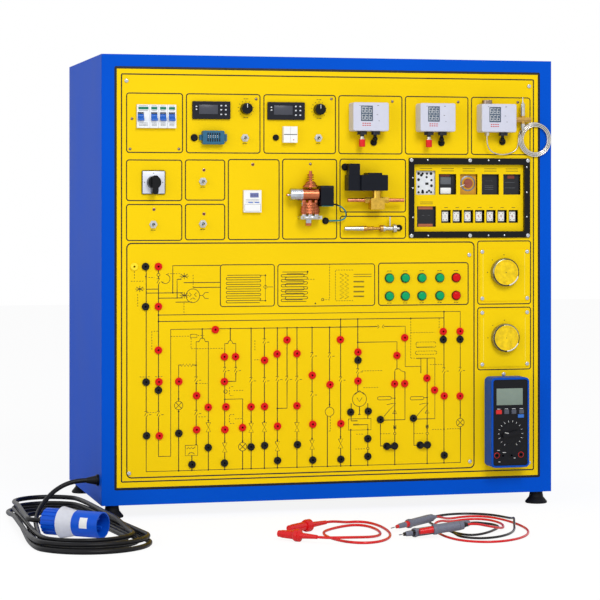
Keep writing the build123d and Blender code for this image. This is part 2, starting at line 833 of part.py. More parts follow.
# Humidity sensor housing with vent slots
with BuildPart() as humidity_sensor:
    with BuildSketch(front()):
        with Locations((sensor_x, sensor_z)):
            RectangleRounded(*sensor_face, 3)
    extrude(amount=sensor_proud)
    fillet(humidity_sensor.faces().sort_by(Axis.Y)[0].edges(), 1.5)
    with BuildSketch(front()):
        with Locations((sensor_x - sensor_face[0] / 2 - 2, sensor_z)):
            Rectangle(6, 10)
        with Locations((sensor_x + sensor_face[0] / 2 + 2.5, sensor_z)):
            Rectangle(7, 14)
    extrude(amount=sensor_proud * 0.5)
    with BuildSketch(front(sensor_proud)):
        with Locations(*[(sensor_x + 4.6 * (i - (sensor_slots - 1) / 2), sensor_z)
                         for i in range(sensor_slots)]):
            Rectangle(2, sensor_face[1] * 0.62)
    extrude(amount=-2.5, mode=Mode.SUBTRACT)
save(humidity_sensor, "humidity_sensor")

# Domed grommets where single wires pass through the panel
with BuildPart() as wire_grommets:
    for x, z, radius in grommets:
        with BuildSketch(front()):
            with Locations((x, z)):
                Circle(radius)
        extrude(amount=3)
        with BuildSketch(front(3)):
            with Locations((x, z)):
                Circle(radius * 0.85)
        extrude(amount=2.5, taper=25)
        with BuildSketch(front(-panel_thickness)):
            with Locations((x, z)):
                Circle(3)
        extrude(amount=panel_thickness)
save(wire_grommets, "wire_grommets")

# Pressure switch and thermostat cases, with a window recess each
with BuildPart() as pressure_switch_cases:
    with BuildSketch(front()):
        with Locations(*case_places):
            RectangleRounded(*case_face, case_radius)
    extrude(amount=case_depth)
    fillet(pressure_switch_cases.faces().sort_by(Axis.Y)[0:3].edges(), 2)
    with BuildSketch(front(case_depth)):
        with Locations(*[(x + window_x, z + window_z) for x, z in case_places]):
            Rectangle(*window_face)
    extrude(amount=-window_sink, mode=Mode.SUBTRACT)
    spring_x, spring_z = case_places[2]
    with BuildSketch(Plane.XY.offset(spring_z + case_face[1] / 2)):
        with Locations((spring_x + thermostat_knob_x, front_y - fitting_out)):
            Circle(spindle_radius + fit)
    extrude(amount=-6, mode=Mode.SUBTRACT)
save(pressure_switch_cases, "pressure_switch_cases")

with BuildPart() as thermostat_knob:
    with BuildSketch(Plane.XY.offset(spring_z + case_face[1] / 2 + seat_gap)):
        with Locations((spring_x + thermostat_knob_x, front_y - fitting_out)):
            Circle(thermostat_knob_radius)
    extrude(amount=thermostat_knob_height)
    fillet(thermostat_knob.faces().sort_by(Axis.Z)[-1].edges(), 1)
    with BuildSketch(Plane.XY.offset(spring_z + case_face[1] / 2 + seat_gap)):
        with Locations((spring_x + thermostat_knob_x, front_y - fitting_out)):
            Circle(spindle_radius)
    extrude(amount=-5)
save(thermostat_knob, "thermostat_knob")

# Unions under the cases: hex nut and capped port on the left, conduit nut on the right
case_bottom = case_places[0][1] - case_face[1] / 2
with BuildPart() as pressure_fittings:
    fitting_y = front_y - fitting_out
    left_fittings = [(x + fitting_left, fitting_y) for x, z in case_places[:2]]
    right_fittings = [(x + fitting_right, fitting_y) for x, z in case_places]
    outlet = (spring_x + thermostat_knob_x, fitting_y)
    with BuildSketch(Plane.XY.offset(case_bottom)):
        with Locations(*left_fittings):
            RegularPolygon(fitting_nut / 2, 6, major_radius=False)
        with Locations(*right_fittings):
            Circle(conduit_nut_radius)
        with Locations(outlet):
            RegularPolygon(5, 6)
    extrude(amount=-fitting_nut_height)
    with BuildSketch(Plane.XY.offset(case_bottom - fitting_nut_height)):
        with Locations(*left_fittings):
            Circle(thread_radius)
    extrude(amount=-thread_length)
    with BuildSketch(Plane.XY.offset(case_bottom - fitting_nut_height - thread_length)):
        with Locations(*left_fittings):
            Circle(cap_radius)
    extrude(amount=-cap_length)
    fillet(pressure_fittings.faces().sort_by(Axis.Z)[0:2].edges(), 1.5)
save(pressure_fittings, "pressure_fittings")

# Capillary: one tube from the thermostat, a flat double ring, and up to the bulb
ring_x, ring_z = capillary_centre
capillary_clear = 0.5
layer_out = [capillary_diameter / 2 + capillary_clear,
             capillary_diameter / 2 + capillary_clear + capillary_pitch]


def ring_point(side, radius, out):
    return (ring_x + side * radius, front_y - out, ring_z)


def ring_half(start_side, start_radius, end_radius, start_out, end_out):
    """Half turn of the flat ring, clockwise, its diameter tilted where it climbs a layer."""
    start = Vector(*ring_point(start_side, start_radius, start_out))
    end = Vector(*ring_point(-start_side, end_radius, end_out))
    middle = (start + end) / 2
    reach = (end - start).length / 2
    ThreePointArc(start, middle + Vector(0, 0, -start_side * reach), end)


outlet_z = case_bottom - fitting_nut_height
lead_in = [
    (outlet[0], fitting_y, outlet_z), (outlet[0], fitting_y, outlet_z - 10),
    (outlet[0] + 1.5, fitting_y + 1, outlet_z - 19), (outlet[0] + 6, fitting_y + 3.5, outlet_z - 27),
    (outlet[0] + 14, fitting_y + 6.5, outlet_z - 33), (outlet[0] + 25, fitting_y + 9, outlet_z - 36.5),
    (outlet[0] + 38, fitting_y + 11, outlet_z - 37.5), (outlet[0] + 51, fitting_y + 13, outlet_z - 35.5),
    (outlet[0] + 62, fitting_y + 14.2, outlet_z - 30.5),
    (ring_x - capillary_outer - 3.5, front_y - layer_out[0], ring_z - 19),
    (ring_x - capillary_outer, front_y - layer_out[0], ring_z - 9),
    (ring_x - capillary_outer, front_y - layer_out[0], ring_z)]
ring_exit = ring_point(-1, capillary_outer, layer_out[1])
lead_out = [
    ring_exit, (ring_exit[0], ring_exit[1], ring_z + 5),
    (ring_exit[0] + 2, ring_exit[1] - 3.5, ring_z + 9.5),
    (bulb_x, front_y - bulb_out, ring_z + 13.5), (bulb_x, front_y - bulb_out, bulb_bottom)]
with BuildPart() as capillary_tube:
    with BuildLine() as capillary_route:
        FilletPolyline(*lead_in, radius=route_radii(lead_in))
        radius = capillary_outer
        out = layer_out[0]
        for half in range(2 * capillary_turns):
            side = -1 if half % 2 == 0 else 1
            smaller = radius - capillary_pitch / 2
            climb = layer_out[1] if half == 2 * capillary_turns - 1 else out
            ring_half(side, radius, smaller, out, climb)
            radius, out = smaller, climb
        for half in range(2 * capillary_turns):
            side = -1 if half % 2 == 0 else 1
            ring_half(side, radius, radius + capillary_pitch / 2, out, out)
            radius += capillary_pitch / 2
        FilletPolyline(*lead_out, radius=route_radii(lead_out))
    with BuildSketch(Plane(origin=lead_in[0], z_dir=(0, 0, -1))):
        Circle(capillary_diameter / 2)
    sweep()
save(capillary_tube, "capillary_tube")
print(f"capillary: {capillary_route.wire().length:.0f} mm,"
      f" gap between turns {capillary_pitch - capillary_diameter:.2f} mm")

# Sensing bulb, held by a brass fitting on a boss, and the horizontal pipe probe
with BuildPart() as sensing_probes:
    with BuildSketch(Plane(origin=(bulb_x, front_y - bulb_out, 0), x_dir=(1, 0, 0), z_dir=(0, -1, 0))):
        with BuildLine():
            Polyline((0, bulb_bottom), (2, bulb_bottom), (bulb_radius - 1, bulb_bottom + 5),
                     (bulb_radius, bulb_bottom + 9), (bulb_radius, bulb_shoulder),
                     (2.5, bulb_shoulder + 3), (bulb_stem, bulb_shoulder + 6),
                     (bulb_stem, bulb_tip), (0, bulb_tip), (0, bulb_bottom))
        make_face()
    revolve(axis=Axis((bulb_x, front_y - bulb_out, 0), (0, 0, 1)))
    with BuildSketch(Plane.YZ.offset(bulb_x - bulb_fitting_length / 2)):
        with Locations((front_y - bulb_out, bulb_fitting_z)):
            RegularPolygon(5.5, 6)
    extrude(amount=bulb_fitting_length)
    with BuildSketch(front()):
        with Locations((bulb_x, bulb_fitting_z)):
            Circle(4)
    extrude(amount=bulb_out - 2)
    probe_y = front_y - probe_out
    stations = [(22, 4), (66, 5.5), (66, 4), (81, 4), (81, 2.8), (94, 2.8), (94, 6.8), (104, 6.8),
                (104, 4.2), (120.5, 4.2), (120.5, 9), (126.5, 9), (126.5, 2.4), (134, 2.4)]
    with BuildSketch(Plane(origin=(0, probe_y, probe_z), x_dir=(1, 0, 0), z_dir=(0, -1, 0))):
        with BuildLine():
            Polyline((stations[0][0], 0), *stations, (stations[-1][0], 0), (stations[0][0], 0))
        make_face()
    revolve(axis=Axis((0, probe_y, probe_z), (1, 0, 0)))
    with BuildSketch(front()):
        with Locations((probe_boss_x, probe_z)):
            Rectangle(probe_boss, probe_boss)
    extrude(amount=probe_out - 5)
    with BuildSketch(Plane.XY.offset(probe_z + 3)):
        with Locations((probe_tail_x, probe_y)):
            Circle(1.4)
    extrude(amount=20)
save(sensing_probes, "sensing_probes")

# Four-way valve: body, three lower pipes, discharge pipe and pilot capillaries
with BuildPart() as reversing_valve:
    valve_y = front_y - valve_out
    with BuildSketch(Plane.YZ.offset(valve_left)):
        with Locations((valve_y, valve_z)):
            Circle(valve_radius)
    extrude(amount=valve_right - valve_left)
    fillet(reversing_valve.edges().filter_by(GeomType.CIRCLE), 3)
    with BuildSketch(Plane.YZ.offset(valve_left - 6)):
        with Locations((valve_y, valve_z - 1)):
            Circle(2.2)
    extrude(amount=8)
    with BuildSketch(Plane.XY.offset(bracket_z + bracket_face[1] / 2)):
        with Locations(*[(x, valve_y) for x in pipe_x]):
            Circle(pipe_radius)
    extrude(amount=valve_z - bracket_z - bracket_face[1] / 2)
    with BuildSketch(Plane.XY.offset(valve_z)):
        with Locations((discharge_x, valve_y)):
            Circle(3.2)
    extrude(amount=discharge_top - valve_z)
    with BuildSketch(Plane.XY.offset(discharge_top - 10)):
        with Locations((discharge_x, valve_y)):
            Circle(5)
    extrude(amount=4)
    with BuildSketch(front()):
        with Locations((discharge_x, bracket_z)):
            Rectangle(*bracket_face)
    extrude(amount=valve_out + 8)
    with BuildSketch(front()):
        with Locations((discharge_x, bracket_z - 9)):
            Rectangle(10, 14)
    extrude(amount=3)
save(reversing_valve, "reversing_valve")

# Coils: the four-way valve's block with its lead, and the solenoid valve's coil and connector
lead_diameter = 3
coil_right = valve_right + coil_block[0]
lead_hole_x = coil_grommet[0] + coil_grommet[2]
coil_lead = [
    (coil_right - 1, valve_y, valve_z - 18), (4, valve_y, valve_z - 20),
    (14, valve_y + 1, valve_z - 24), (22, valve_y + 3, valve_z - 31),
    (25.5, valve_y + 5, valve_z - 40), (22, valve_y + 7, valve_z - 47.5),
    (13, valve_y + 9, valve_z - 51), (lead_hole_x + 8, front_y - 4, coil_grommet[1] + 0.2),
    (lead_hole_x, front_y - 4, coil_grommet[1])]
with BuildPart() as valve_coils:
    with BuildSketch(Plane.YZ.offset(valve_right)):
        with Locations((front_y - coil_block[2] / 2 - 1, valve_z - 3)):
            RectangleRounded(coil_block[2], coil_block[1], 4)
    extrude(amount=coil_block[0])
    with BuildSketch(Plane.YZ.offset(coil_right)):
        with Locations((valve_y, valve_z)):
            RegularPolygon(4.5, 6)
    extrude(amount=3.5)
    with BuildSketch(front(4)):
        with Locations((solenoid_coil_left + solenoid_coil[0] / 2, solenoid_coil_z)):
            RectangleRounded(solenoid_coil[0], solenoid_coil[1], 2)
    extrude(amount=solenoid_coil[2])
    with BuildSketch(front(4)):
        with Locations((solenoid_coil_left + solenoid_lid[0],
                        solenoid_coil_z + solenoid_coil[1] / 2 + 1.5)):
            Rectangle(*solenoid_lid)
    extrude(amount=solenoid_coil[2])
    with BuildSketch(front(4)):
        with Locations((solenoid_coil_left - connector_block[0] / 2, solenoid_coil_z)):
            Rectangle(connector_block[0], connector_block[1])
    extrude(amount=connector_block[2])
    with BuildSketch(front(9)):
        with Locations((connector_tower_left + connector_tower[0] / 2,
                        solenoid_coil_z + (connector_block[1] + connector_tower[1]) / 2)):
            Rectangle(*connector_tower)
    extrude(amount=connector_block[2] - 7)
with BuildPart() as coil_lead_tube:
    with BuildLine() as lead_route:
        FilletPolyline(*coil_lead, radius=route_radii(coil_lead))
    with BuildSketch(Plane(origin=lead_route.line @ 0, z_dir=lead_route.line % 0)):
        Circle(lead_diameter / 2)
    sweep()
with BuildPart() as all_coils:
    add(valve_coils.part)
    add(coil_lead_tube.part)
save(all_coils, "valve_coils")

# Solenoid valve: brass body on a boss, copper stubs, union nuts and the stem under its coil
with BuildPart() as solenoid_valve:
    with BuildSketch(front(solenoid_out - solenoid_body[2] / 2)):
        with Locations((solenoid_x, solenoid_z)):
            RectangleRounded(solenoid_body[0], solenoid_body[1], 2)
    extrude(amount=solenoid_body[2])
    with BuildSketch(front()):
        with Locations((solenoid_x, solenoid_z)):
            Circle(6)
    extrude(amount=solenoid_out)
    with BuildSketch(Plane.XY.offset(solenoid_z)):
        with Locations((solenoid_x, front_y - solenoid_out)):
            Circle(stem_radius)
    extrude(amount=solenoid_coil_z - solenoid_coil[1] / 2 - solenoid_z)
    with BuildSketch(Plane.YZ.offset(stub_left)):
        with Locations((front_y - solenoid_out, stub_z)):
            Circle(stub_radius)
    extrude(amount=stub_right - stub_left)
    with BuildSketch(Plane.YZ.offset(solenoid_x - union_span / 2)):
        with Locations((front_y - solenoid_out, stub_z)):
            RegularPolygon(union_nut, 6)
    extrude(amount=union_span)
save(solenoid_valve, "solenoid_valve")

# Relay window: black frame, plate with cut-outs, and the control gear behind
with BuildPart() as relay_frame:
    with BuildSketch(front()):
        with Locations((relay_x, relay_z)):
            RectangleRounded(*relay_frame_face, 3)
            Rectangle(*relay_window, mode=Mode.SUBTRACT)
        with Locations(*frame_screws):
            Circle(screw_radius + fit, mode=Mode.SUBTRACT)
    extrude(amount=relay_frame_proud)
    with BuildSketch(front()):
        with Locations((relay_x, relay_z)):
            Rectangle(*relay_recess)
            Rectangle(*relay_window, mode=Mode.SUBTRACT)
    extrude(amount=-relay_plate_sink - relay_plate_thick - 2)
    with BuildSketch(front(-relay_plate_sink - relay_plate_thick)):
        with Locations((relay_x, relay_z)):
            Rectangle(*relay_window)
            Rectangle(relay_window[0] - 2 * relay_ledge, relay_window[1] - 2 * relay_ledge,
                      mode=Mode.SUBTRACT)
    extrude(amount=-2)
save(relay_frame, "relay_frame")

with BuildPart() as relay_plate:
    with BuildSketch(front(-relay_plate_sink - relay_plate_thick)):
        with Locations((relay_x, relay_z)):
            Rectangle(relay_window[0] - 2 * fit, relay_window[1] - 2 * fit)
        with Locations((contactor_x, contactor_z)):
            Rectangle(*contactor_cut, mode=Mode.SUBTRACT)
        with Locations((overload_x, overload_z)):
            Rectangle(*overload_cut, mode=Mode.SUBTRACT)
        with Locations(*[(x, relay_cut_z) for x in relay_cut_x]):
            Rectangle(*relay_cut, mode=Mode.SUBTRACT)
        with Locations(*[(x, small_z) for x in small_x]):
            Rectangle(*small_cut, mode=Mode.SUBTRACT)
    extrude(amount=relay_plate_thick)
save(relay_plate, "relay_plate")

timer_x = relay_cut_x[1]
timer_z = relay_cut_z + 2
gear_back = body_back
gear_depth = -gear_back - device_sink
with BuildPart() as control_relays:
    with BuildSketch(front(-device_sink)):
        with Locations((contactor_x, relay_cut_z + 1)):
            Rectangle(43, 58)
        with Locations(*[(x, relay_cut_z) for x in relay_cut_x]):
            Rectangle(35.5, 58)
        with Locations((overload_x, small_z)):
            Rectangle(43, 56)
        with Locations(*[(x, small_z) for x in small_x]):
            Rectangle(15.5, 50)
    extrude(amount=-gear_depth)
    with BuildSketch(front(-device_sink)):
        with Locations((timer_x, timer_z)):
            Circle(timer_radius + 3.4)
            Circle(timer_radius + seat_gap, mode=Mode.SUBTRACT)
    extrude(amount=2)
    with BuildSketch(front(-device_sink)):
        with Locations((timer_x, timer_z)):
            Circle(spindle_radius + fit)
    extrude(amount=-6, mode=Mode.SUBTRACT)
save(control_relays, "control_relays")

with BuildPart() as timer_dial:
    with BuildSketch(front(-device_sink + seat_gap)):
        with Locations((timer_x, timer_z)):
            Circle(timer_radius)
    extrude(amount=timer_height)
    with BuildSketch(front(-device_sink + seat_gap + timer_height)):
        with Locations((timer_x - timer_radius / 2, timer_z)):
            Rectangle(timer_radius, 1.6)
    extrude(amount=-1, mode=Mode.SUBTRACT)
    with BuildSketch(front(-device_sink + seat_gap)):
        with Locations((timer_x, timer_z)):
            Circle(spindle_radius)
    extrude(amount=-5)
save(timer_dial, "timer_dial")

# Signal lamps: bezel, domed lens, barrel and nut
green_lamps = [(x, z) for x in lamp_x[:-1] for z in lamp_z]
red_lamps = [(lamp_x[-1], z) for z in lamp_z]


def signal_lamps(places):
    with BuildPart() as lamps:
        with BuildSketch(front()):
            with Locations(*places):
                Circle(lamp_bezel)
        extrude(amount=lamp_bezel_height)
        with BuildSketch(front(lamp_bezel_height)):
            with Locations(*places):
                Circle(lamp_barrel)
        extrude(amount=lamp_lens_height)
        domes = lamps.faces().sort_by(Axis.Y)[0:len(places)]
        fillet(domes.edges(), 3)
        with BuildSketch(front()):
            with Locations(*places):
                Circle(lamp_barrel)
        extrude(amount=-lamp_body_depth)
        with BuildSketch(front(-panel_thickness)):
            with Locations(*places):
                RegularPolygon(10.5, 6)
        extrude(amount=-4)
    return lamps


save(signal_lamps(green_lamps), "green_lamps")
save(signal_lamps(red_lamps), "red_lamps")


def banana_sockets(places):
    """Four-millimetre sockets, each with a collar, a threaded barrel and a nut."""
    with BuildPart() as sockets:
        with BuildSketch(front()):
            with Locations(*places):
                Circle(socket_radius)
        extrude(amount=socket_proud)
        rims = sockets.faces().sort_by(Axis.Y)[0:len(places)]
        chamfer(rims.edges(), 0.8)
        with BuildSketch(front()):
            with Locations(*places):
                Circle(socket_barrel)
        extrude(amount=-socket_length + socket_proud)
        with BuildSketch(front(-panel_thickness)):
            with Locations(*places):
                RegularPolygon(socket_nut / 2, 6, major_radius=False)
        extrude(amount=-3)
        with BuildSketch(front(socket_proud)):
            with Locations(*places):
                Circle(socket_bore)
        extrude(amount=-socket_length + 2, mode=Mode.SUBTRACT)
    return sockets


save(banana_sockets(red_places), "red_sockets")
with BuildPart() as black_sockets:
    add(banana_sockets(black_places).part)
    for left, right, z in link_pairs:
        with BuildSketch(front(socket_proud)):
            with Locations(((left + right) / 2, z)):
                RectangleRounded(*link_face, 3)
        extrude(amount=link_height)
save(black_sockets, "black_sockets")

# Large dials: square plates on the panel, variable transformers behind, knobs in front
with BuildPart() as dial_bodies:
    with BuildSketch(front()):
        for x, z, width, height in dial_plates:
            with Locations((x, z)):
                RectangleRounded(width, height, 3)
        with Locations(*dial_screws):
            Circle(screw_radius + fit, mode=Mode.SUBTRACT)
    extrude(amount=dial_plate_thick)
    with BuildSketch(front(-panel_thickness)):
        with Locations(*dial_places):
            Circle(transformer_radius)
    extrude(amount=-transformer_depth)
    with BuildSketch(front(-panel_thickness)):
        with Locations(*dial_places):
            Circle(5)
    extrude(amount=panel_thickness)
    with BuildSketch(front(dial_plate_thick)):
        with Locations(*dial_places):
            Circle(dial_spindle + fit)
    extrude(amount=-dial_plate_thick - panel_thickness - 6, mode=Mode.SUBTRACT)
save(dial_bodies, "dial_bodies")


def large_dial(x, z):
    """Round dial knob with its spindle, its pointer notch at the bottom."""
    base = dial_plate_thick + seat_gap
    with BuildPart() as dial:
        with BuildSketch(front(base)):
            with Locations((x, z)):
                Circle(dial_radius)
        extrude(amount=dial_height)
        fillet(dial.faces().sort_by(Axis.Y)[0].edges(), 4)
        with BuildSketch(front(base + dial_height)):
            with Locations((x, z)):
                Circle(dial_radius - 6)
        extrude(amount=-1, mode=Mode.SUBTRACT)
        with BuildSketch(front(base + dial_height)):
            with Locations((x, z - dial_radius + 8)):
                Rectangle(2, 6)
        extrude(amount=-1.6, mode=Mode.SUBTRACT)
        with BuildSketch(front(base)):
            with Locations((x, z)):
                Circle(dial_spindle)
        extrude(amount=-base - panel_thickness - 4)
    return dial


save(large_dial(*dial_places[0]), "upper_dial")
save(large_dial(*dial_places[1]), "lower_dial")

# Multimeter: rubber boot, case, keys and selector
case_face_out = boot_depth - 1
with BuildPart() as multimeter_boot:
    with BuildSketch(front()):
        with Locations((meter_x, meter_z)):
            RectangleRounded(*boot_face, boot_radius)
    extrude(amount=boot_depth)
    fillet(multimeter_boot.faces().sort_by(Axis.Y)[0].edges(), 1.8)
    with BuildSketch(front(boot_wall)):
        with Locations((meter_x, meter_z)):
            RectangleRounded(boot_face[0] - 2 * boot_wall, boot_face[1] - 2 * boot_wall,
                             boot_radius - boot_wall)
    extrude(amount=boot_depth, mode=Mode.SUBTRACT)
save(multimeter_boot, "multimeter_boot")

keys = {"meter_power_key": (key_x[0], key_z, red_key),
        "meter_range_key": (key_x[1], key_z, grey_key),
        "meter_hold_key": (key_x[2], key_z, grey_key),
        "meter_light_key": (key_x[3], key_z, grey_key),
        "meter_mode_key": (*blue_key_place, blue_key)}
with BuildPart() as multimeter_case:
    with BuildSketch(front(boot_wall)):
        with Locations((meter_x, meter_z)):
            RectangleRounded(boot_face[0] - 2 * boot_wall - 2 * fit,
                             boot_face[1] - 2 * boot_wall - 2 * fit, boot_radius - boot_wall)
    extrude(amount=case_face_out - boot_wall)
    fillet(multimeter_case.faces().sort_by(Axis.Y)[0].edges(), 1)
    with BuildSketch(front(case_face_out)):
        with Locations((meter_x - 1.7, screen_z)):
            Rectangle(*screen_face)
    extrude(amount=-1, mode=Mode.SUBTRACT)
    with BuildSketch(front(case_face_out)):
        for x, z, face in keys.values():
            with Locations((x, z)):
                Rectangle(face[0] + 2 * seat_gap, face[1] + 2 * seat_gap)
    extrude(amount=-key_sink - key_travel - seat_gap, mode=Mode.SUBTRACT)
    with BuildSketch(front(case_face_out)):
        with Locations((selector_x, selector_z)):
            Circle(selector_radius + seat_gap)
    extrude(amount=-selector_sink, mode=Mode.SUBTRACT)
    with BuildSketch(front(case_face_out)):
        with Locations((selector_x, selector_z)):
            Circle(dial_spindle + fit)
    extrude(amount=-selector_sink - 8, mode=Mode.SUBTRACT)
    with BuildSketch(front(case_face_out)):
        with Locations(*meter_sockets):
            Circle(meter_socket_radius)
            Circle(socket_bore, mode=Mode.SUBTRACT)
    extrude(amount=0.8)
    with BuildSketch(front(case_face_out)):
        with Locations(*meter_sockets):
            Circle(socket_bore)
    extrude(amount=-18, mode=Mode.SUBTRACT)
save(multimeter_case, "multimeter_case")

for name, (x, z, face) in keys.items():
    with BuildPart() as key:
        with BuildSketch(front(case_face_out - key_sink)):
            with Locations((x, z)):
                RectangleRounded(*face, 1)
        extrude(amount=key_sink + key_proud)
        fillet(key.faces().sort_by(Axis.Y)[0].edges(), 0.5)
    save(key, name)

with BuildPart() as meter_selector:
    selector_base = case_face_out - selector_sink + seat_gap
    with BuildSketch(front(selector_base)):
        with Locations((selector_x, selector_z)):
            Circle(selector_radius)
    extrude(amount=selector_sink)
    with BuildSketch(front(selector_base + selector_sink)):
        with Locations(Location((selector_x, selector_z), 12)):
            SlotOverall(*selector_bar)
    extrude(amount=meter_front - selector_base - selector_sink)
    with BuildSketch(front(selector_base)):
        with Locations((selector_x, selector_z)):
            Circle(dial_spindle)
    extrude(amount=-7)
save(meter_selector, "meter_selector")

# Cable gland in the left wall, tapering to the cable as a strain relief
gland_x = -cabinet_width / 2
gland_point_y = front_y + gland_y
with BuildPart() as cable_gland:
    with BuildSketch(Plane.YZ.offset(gland_x)):
        with Locations((gland_point_y, gland_z)):
            Circle(gland_base)
    extrude(amount=steel)
    with BuildSketch(Plane.YZ.offset(gland_x)):
        with Locations((gland_point_y, gland_z)):
            Circle(gland_base + 2)
    extrude(amount=-gland_flange)
    with BuildSketch(Plane.YZ.offset(gland_x - gland_flange)):
        with Locations((gland_point_y, gland_z)):
            Circle(gland_base)
    with BuildSketch(Plane.YZ.offset(gland_x - gland_length)):
        with Locations((gland_point_y, gland_z)):
            Circle(cable_diameter / 2 + 0.6)
    loft()
    with BuildSketch(Plane.YZ.offset(gland_x + steel)):
        with Locations((gland_point_y, gland_z)):
            RegularPolygon(gland_base + 3, 6)
    extrude(amount=5)
save(cable_gland, "cable_gland")

# Mains cable coil: an oval that fans out towards the viewer, wound like a belt round two
# rows of circles. Each entry is a circle's centre, its radius and its layer.
near_x = -530
far_x = -547
floor_layer = cable_diameter / 2
second_layer = floor_layer + layer_pitch
third_layer = second_layer + layer_pitch
coil_circles = [
    (far_x, -234, 42, floor_layer),
    (near_x - 2, -456, 77, floor_layer), (far_x + 1, -164, 54, floor_layer),
    (near_x, -484, 91, floor_layer), (far_x, -132, 65, floor_layer),
    (near_x + 1.5, -516, 104.5, floor_layer), (far_x, -94, 76, floor_layer),
    (near_x + 1.5, -502, 103.5, second_layer), (far_x, -112, 67, second_layer),
    (near_x - 1, -470, 85, second_layer), (far_x + 2, -92, 66, third_layer),
    (-581, -352, 38, plug_height)]
coil_start_share = 0.25
climb_share = 0.35


def belt_ends(first, second):
    """Ends of the straight run that a belt makes from one circle to the next."""
    (x0, y0, r0, _), (x1, y1, r1, _) = first, second
    along = math.atan2(y1 - y0, x1 - x0) - math.asin((r1 - r0) / math.hypot(x1 - x0, y1 - y0))
    side = (math.sin(along), -math.cos(along))
    return ((x0 + r0 * side[0], y0 + r0 * side[1]), (x1 + r1 * side[0], y1 + r1 * side[1]))


def belt_run(first, second):
    """Straight run, with an S-shaped climb in its first part where the layer changes."""
    (ax, ay), (bx, by) = belt_ends(first, second)
    start = Vector(ax, ay, first[3])
    end = Vector(bx, by, second[3])
    if first is coil_circles[0]:
        start += (end - start) * coil_start_share
    if abs(second[3] - first[3]) < 0.01:
        Line(start, end)
        return
    flat = Vector(bx - ax, by - ay, 0)
    top = start + flat * climb_share + Vector(0, 0, second[3] - first[3])
    middle = (start + top) / 2
    rise = TangentArc(start, middle, tangent=flat.normalized())
    TangentArc(middle, top, tangent=rise % 1)
    Line(top, end)


runs = [belt_ends(first, second) for first, second in zip(coil_circles, coil_circles[1:])]
plug_along = Vector(*plug_direction).normalized()
with BuildPart() as power_cable_coil:
    with BuildLine() as coil_route:
        for number, circle in enumerate(coil_circles[1:], start=1):
            belt_run(coil_circles[number - 1], circle)
            centre = Vector(circle[0], circle[1], circle[3])
            arrive = Vector(*runs[number - 1][1], circle[3])
            if number < len(coil_circles) - 1:
                leave = Vector(*runs[number][0], circle[3])
                start_angle = math.atan2(arrive.Y - centre.Y, arrive.X - centre.X)
                end_angle = math.atan2(leave.Y - centre.Y, leave.X - centre.X)
            else:
                start_angle = math.atan2(arrive.Y - centre.Y, arrive.X - centre.X)
                end_angle = math.atan2(-plug_along.X, plug_along.Y)
            if end_angle < start_angle:
                end_angle += 2 * math.pi
            half_angle = (start_angle + end_angle) / 2
            mid_point = centre + Vector(math.cos(half_angle), math.sin(half_angle)) * circle[2]
            end_point = centre + Vector(math.cos(end_angle), math.sin(end_angle)) * circle[2]
            ThreePointArc(arrive, mid_point, end_point)
        coil_end = end_point
        Line(coil_end, coil_end + plug_along * cable_diameter)
    with BuildSketch(Plane(origin=coil_route.line @ 0, z_dir=coil_route.line % 0)):
        Circle(cable_diameter / 2)
    sweep()
save(power_cable_coil, "power_cable_coil")
sample_step = 4
sample_apart = 60
steps = int(coil_route.wire().length / sample_step)
along_coil = [coil_route.line @ (i / steps) for i in range(steps + 1)]
apart = sample_apart // sample_step
least_gap = min((along_coil[i] - along_coil[j]).length
                for i in range(steps + 1) for j in range(i + apart, steps + 1)) - cable_diameter
print(f"mains coil: least gap between its turns {least_gap:.2f} mm")
coil_start = coil_route.line @ 0
plug_start = coil_end + plug_along * cable_diameter
print(f"mains coil: {coil_route.wire().length:.0f} mm, starts {coil_start}, plug at {plug_start}")

# Mains cable from the gland, over the coil's edge and down inside it
feed_direction = coil_route.line % 0
feed_points = [
    (gland_x - gland_length, gland_point_y, gland_z),
    (gland_x - gland_length - 25, gland_point_y, gland_z),
    (-540, gland_point_y - 9, 58), (-566, gland_point_y - 30, 38),
    (-583, gland_point_y - 60, 20), (-591, gland_point_y - 92, 8),
    tuple(coil_start - feed_direction * 17), tuple(coil_start)]
save(cord_tube(feed_points, cable_diameter, "power_cable"), "power_cable")

# Mains plug: strain relief, ribbed handle, collar and an open shroud with three pins
plug_plane = Plane(origin=plug_start, x_dir=(0, 0, 1), z_dir=plug_along)
handle_start = plug_sizes["relief"]
collar_start = handle_start + plug_sizes["handle"]
shroud_start = collar_start + plug_sizes["collar"]
with BuildPart() as mains_plug:
    with BuildSketch(plug_plane):
        Circle(plug_radius["relief"])
    extrude(amount=plug_sizes["relief"])
    with BuildSketch(plug_plane.offset(handle_start)):
        Circle(plug_radius["handle"])
    extrude(amount=plug_sizes["handle"])
    with BuildSketch(plug_plane.offset(handle_start)):
        with PolarLocations(plug_radius["handle"], 18):
            Rectangle(2.4, 3)
    extrude(amount=plug_sizes["handle"] * 0.85, mode=Mode.SUBTRACT)
    with BuildSketch(plug_plane.offset(collar_start)):
        Circle(plug_radius["collar"])
    with BuildSketch(plug_plane.offset(shroud_start)):
        Circle(plug_radius["shroud"] - 1)
    loft()
    with BuildSketch(plug_plane.offset(shroud_start)):
        Circle(plug_radius["shroud"])
    extrude(amount=plug_sizes["shroud"])
    with BuildSketch(plug_plane.offset(shroud_start + plug_floor)):
        Circle(plug_radius["shroud"] - 2.2)
    extrude(amount=plug_sizes["shroud"], mode=Mode.SUBTRACT)
    with BuildSketch(plug_plane.offset(shroud_start + plug_floor)):
        with PolarLocations(11, 3):
            Circle(plug_pin)
    extrude(amount=plug_pin_length)
save(mains_plug, "mains_plug")


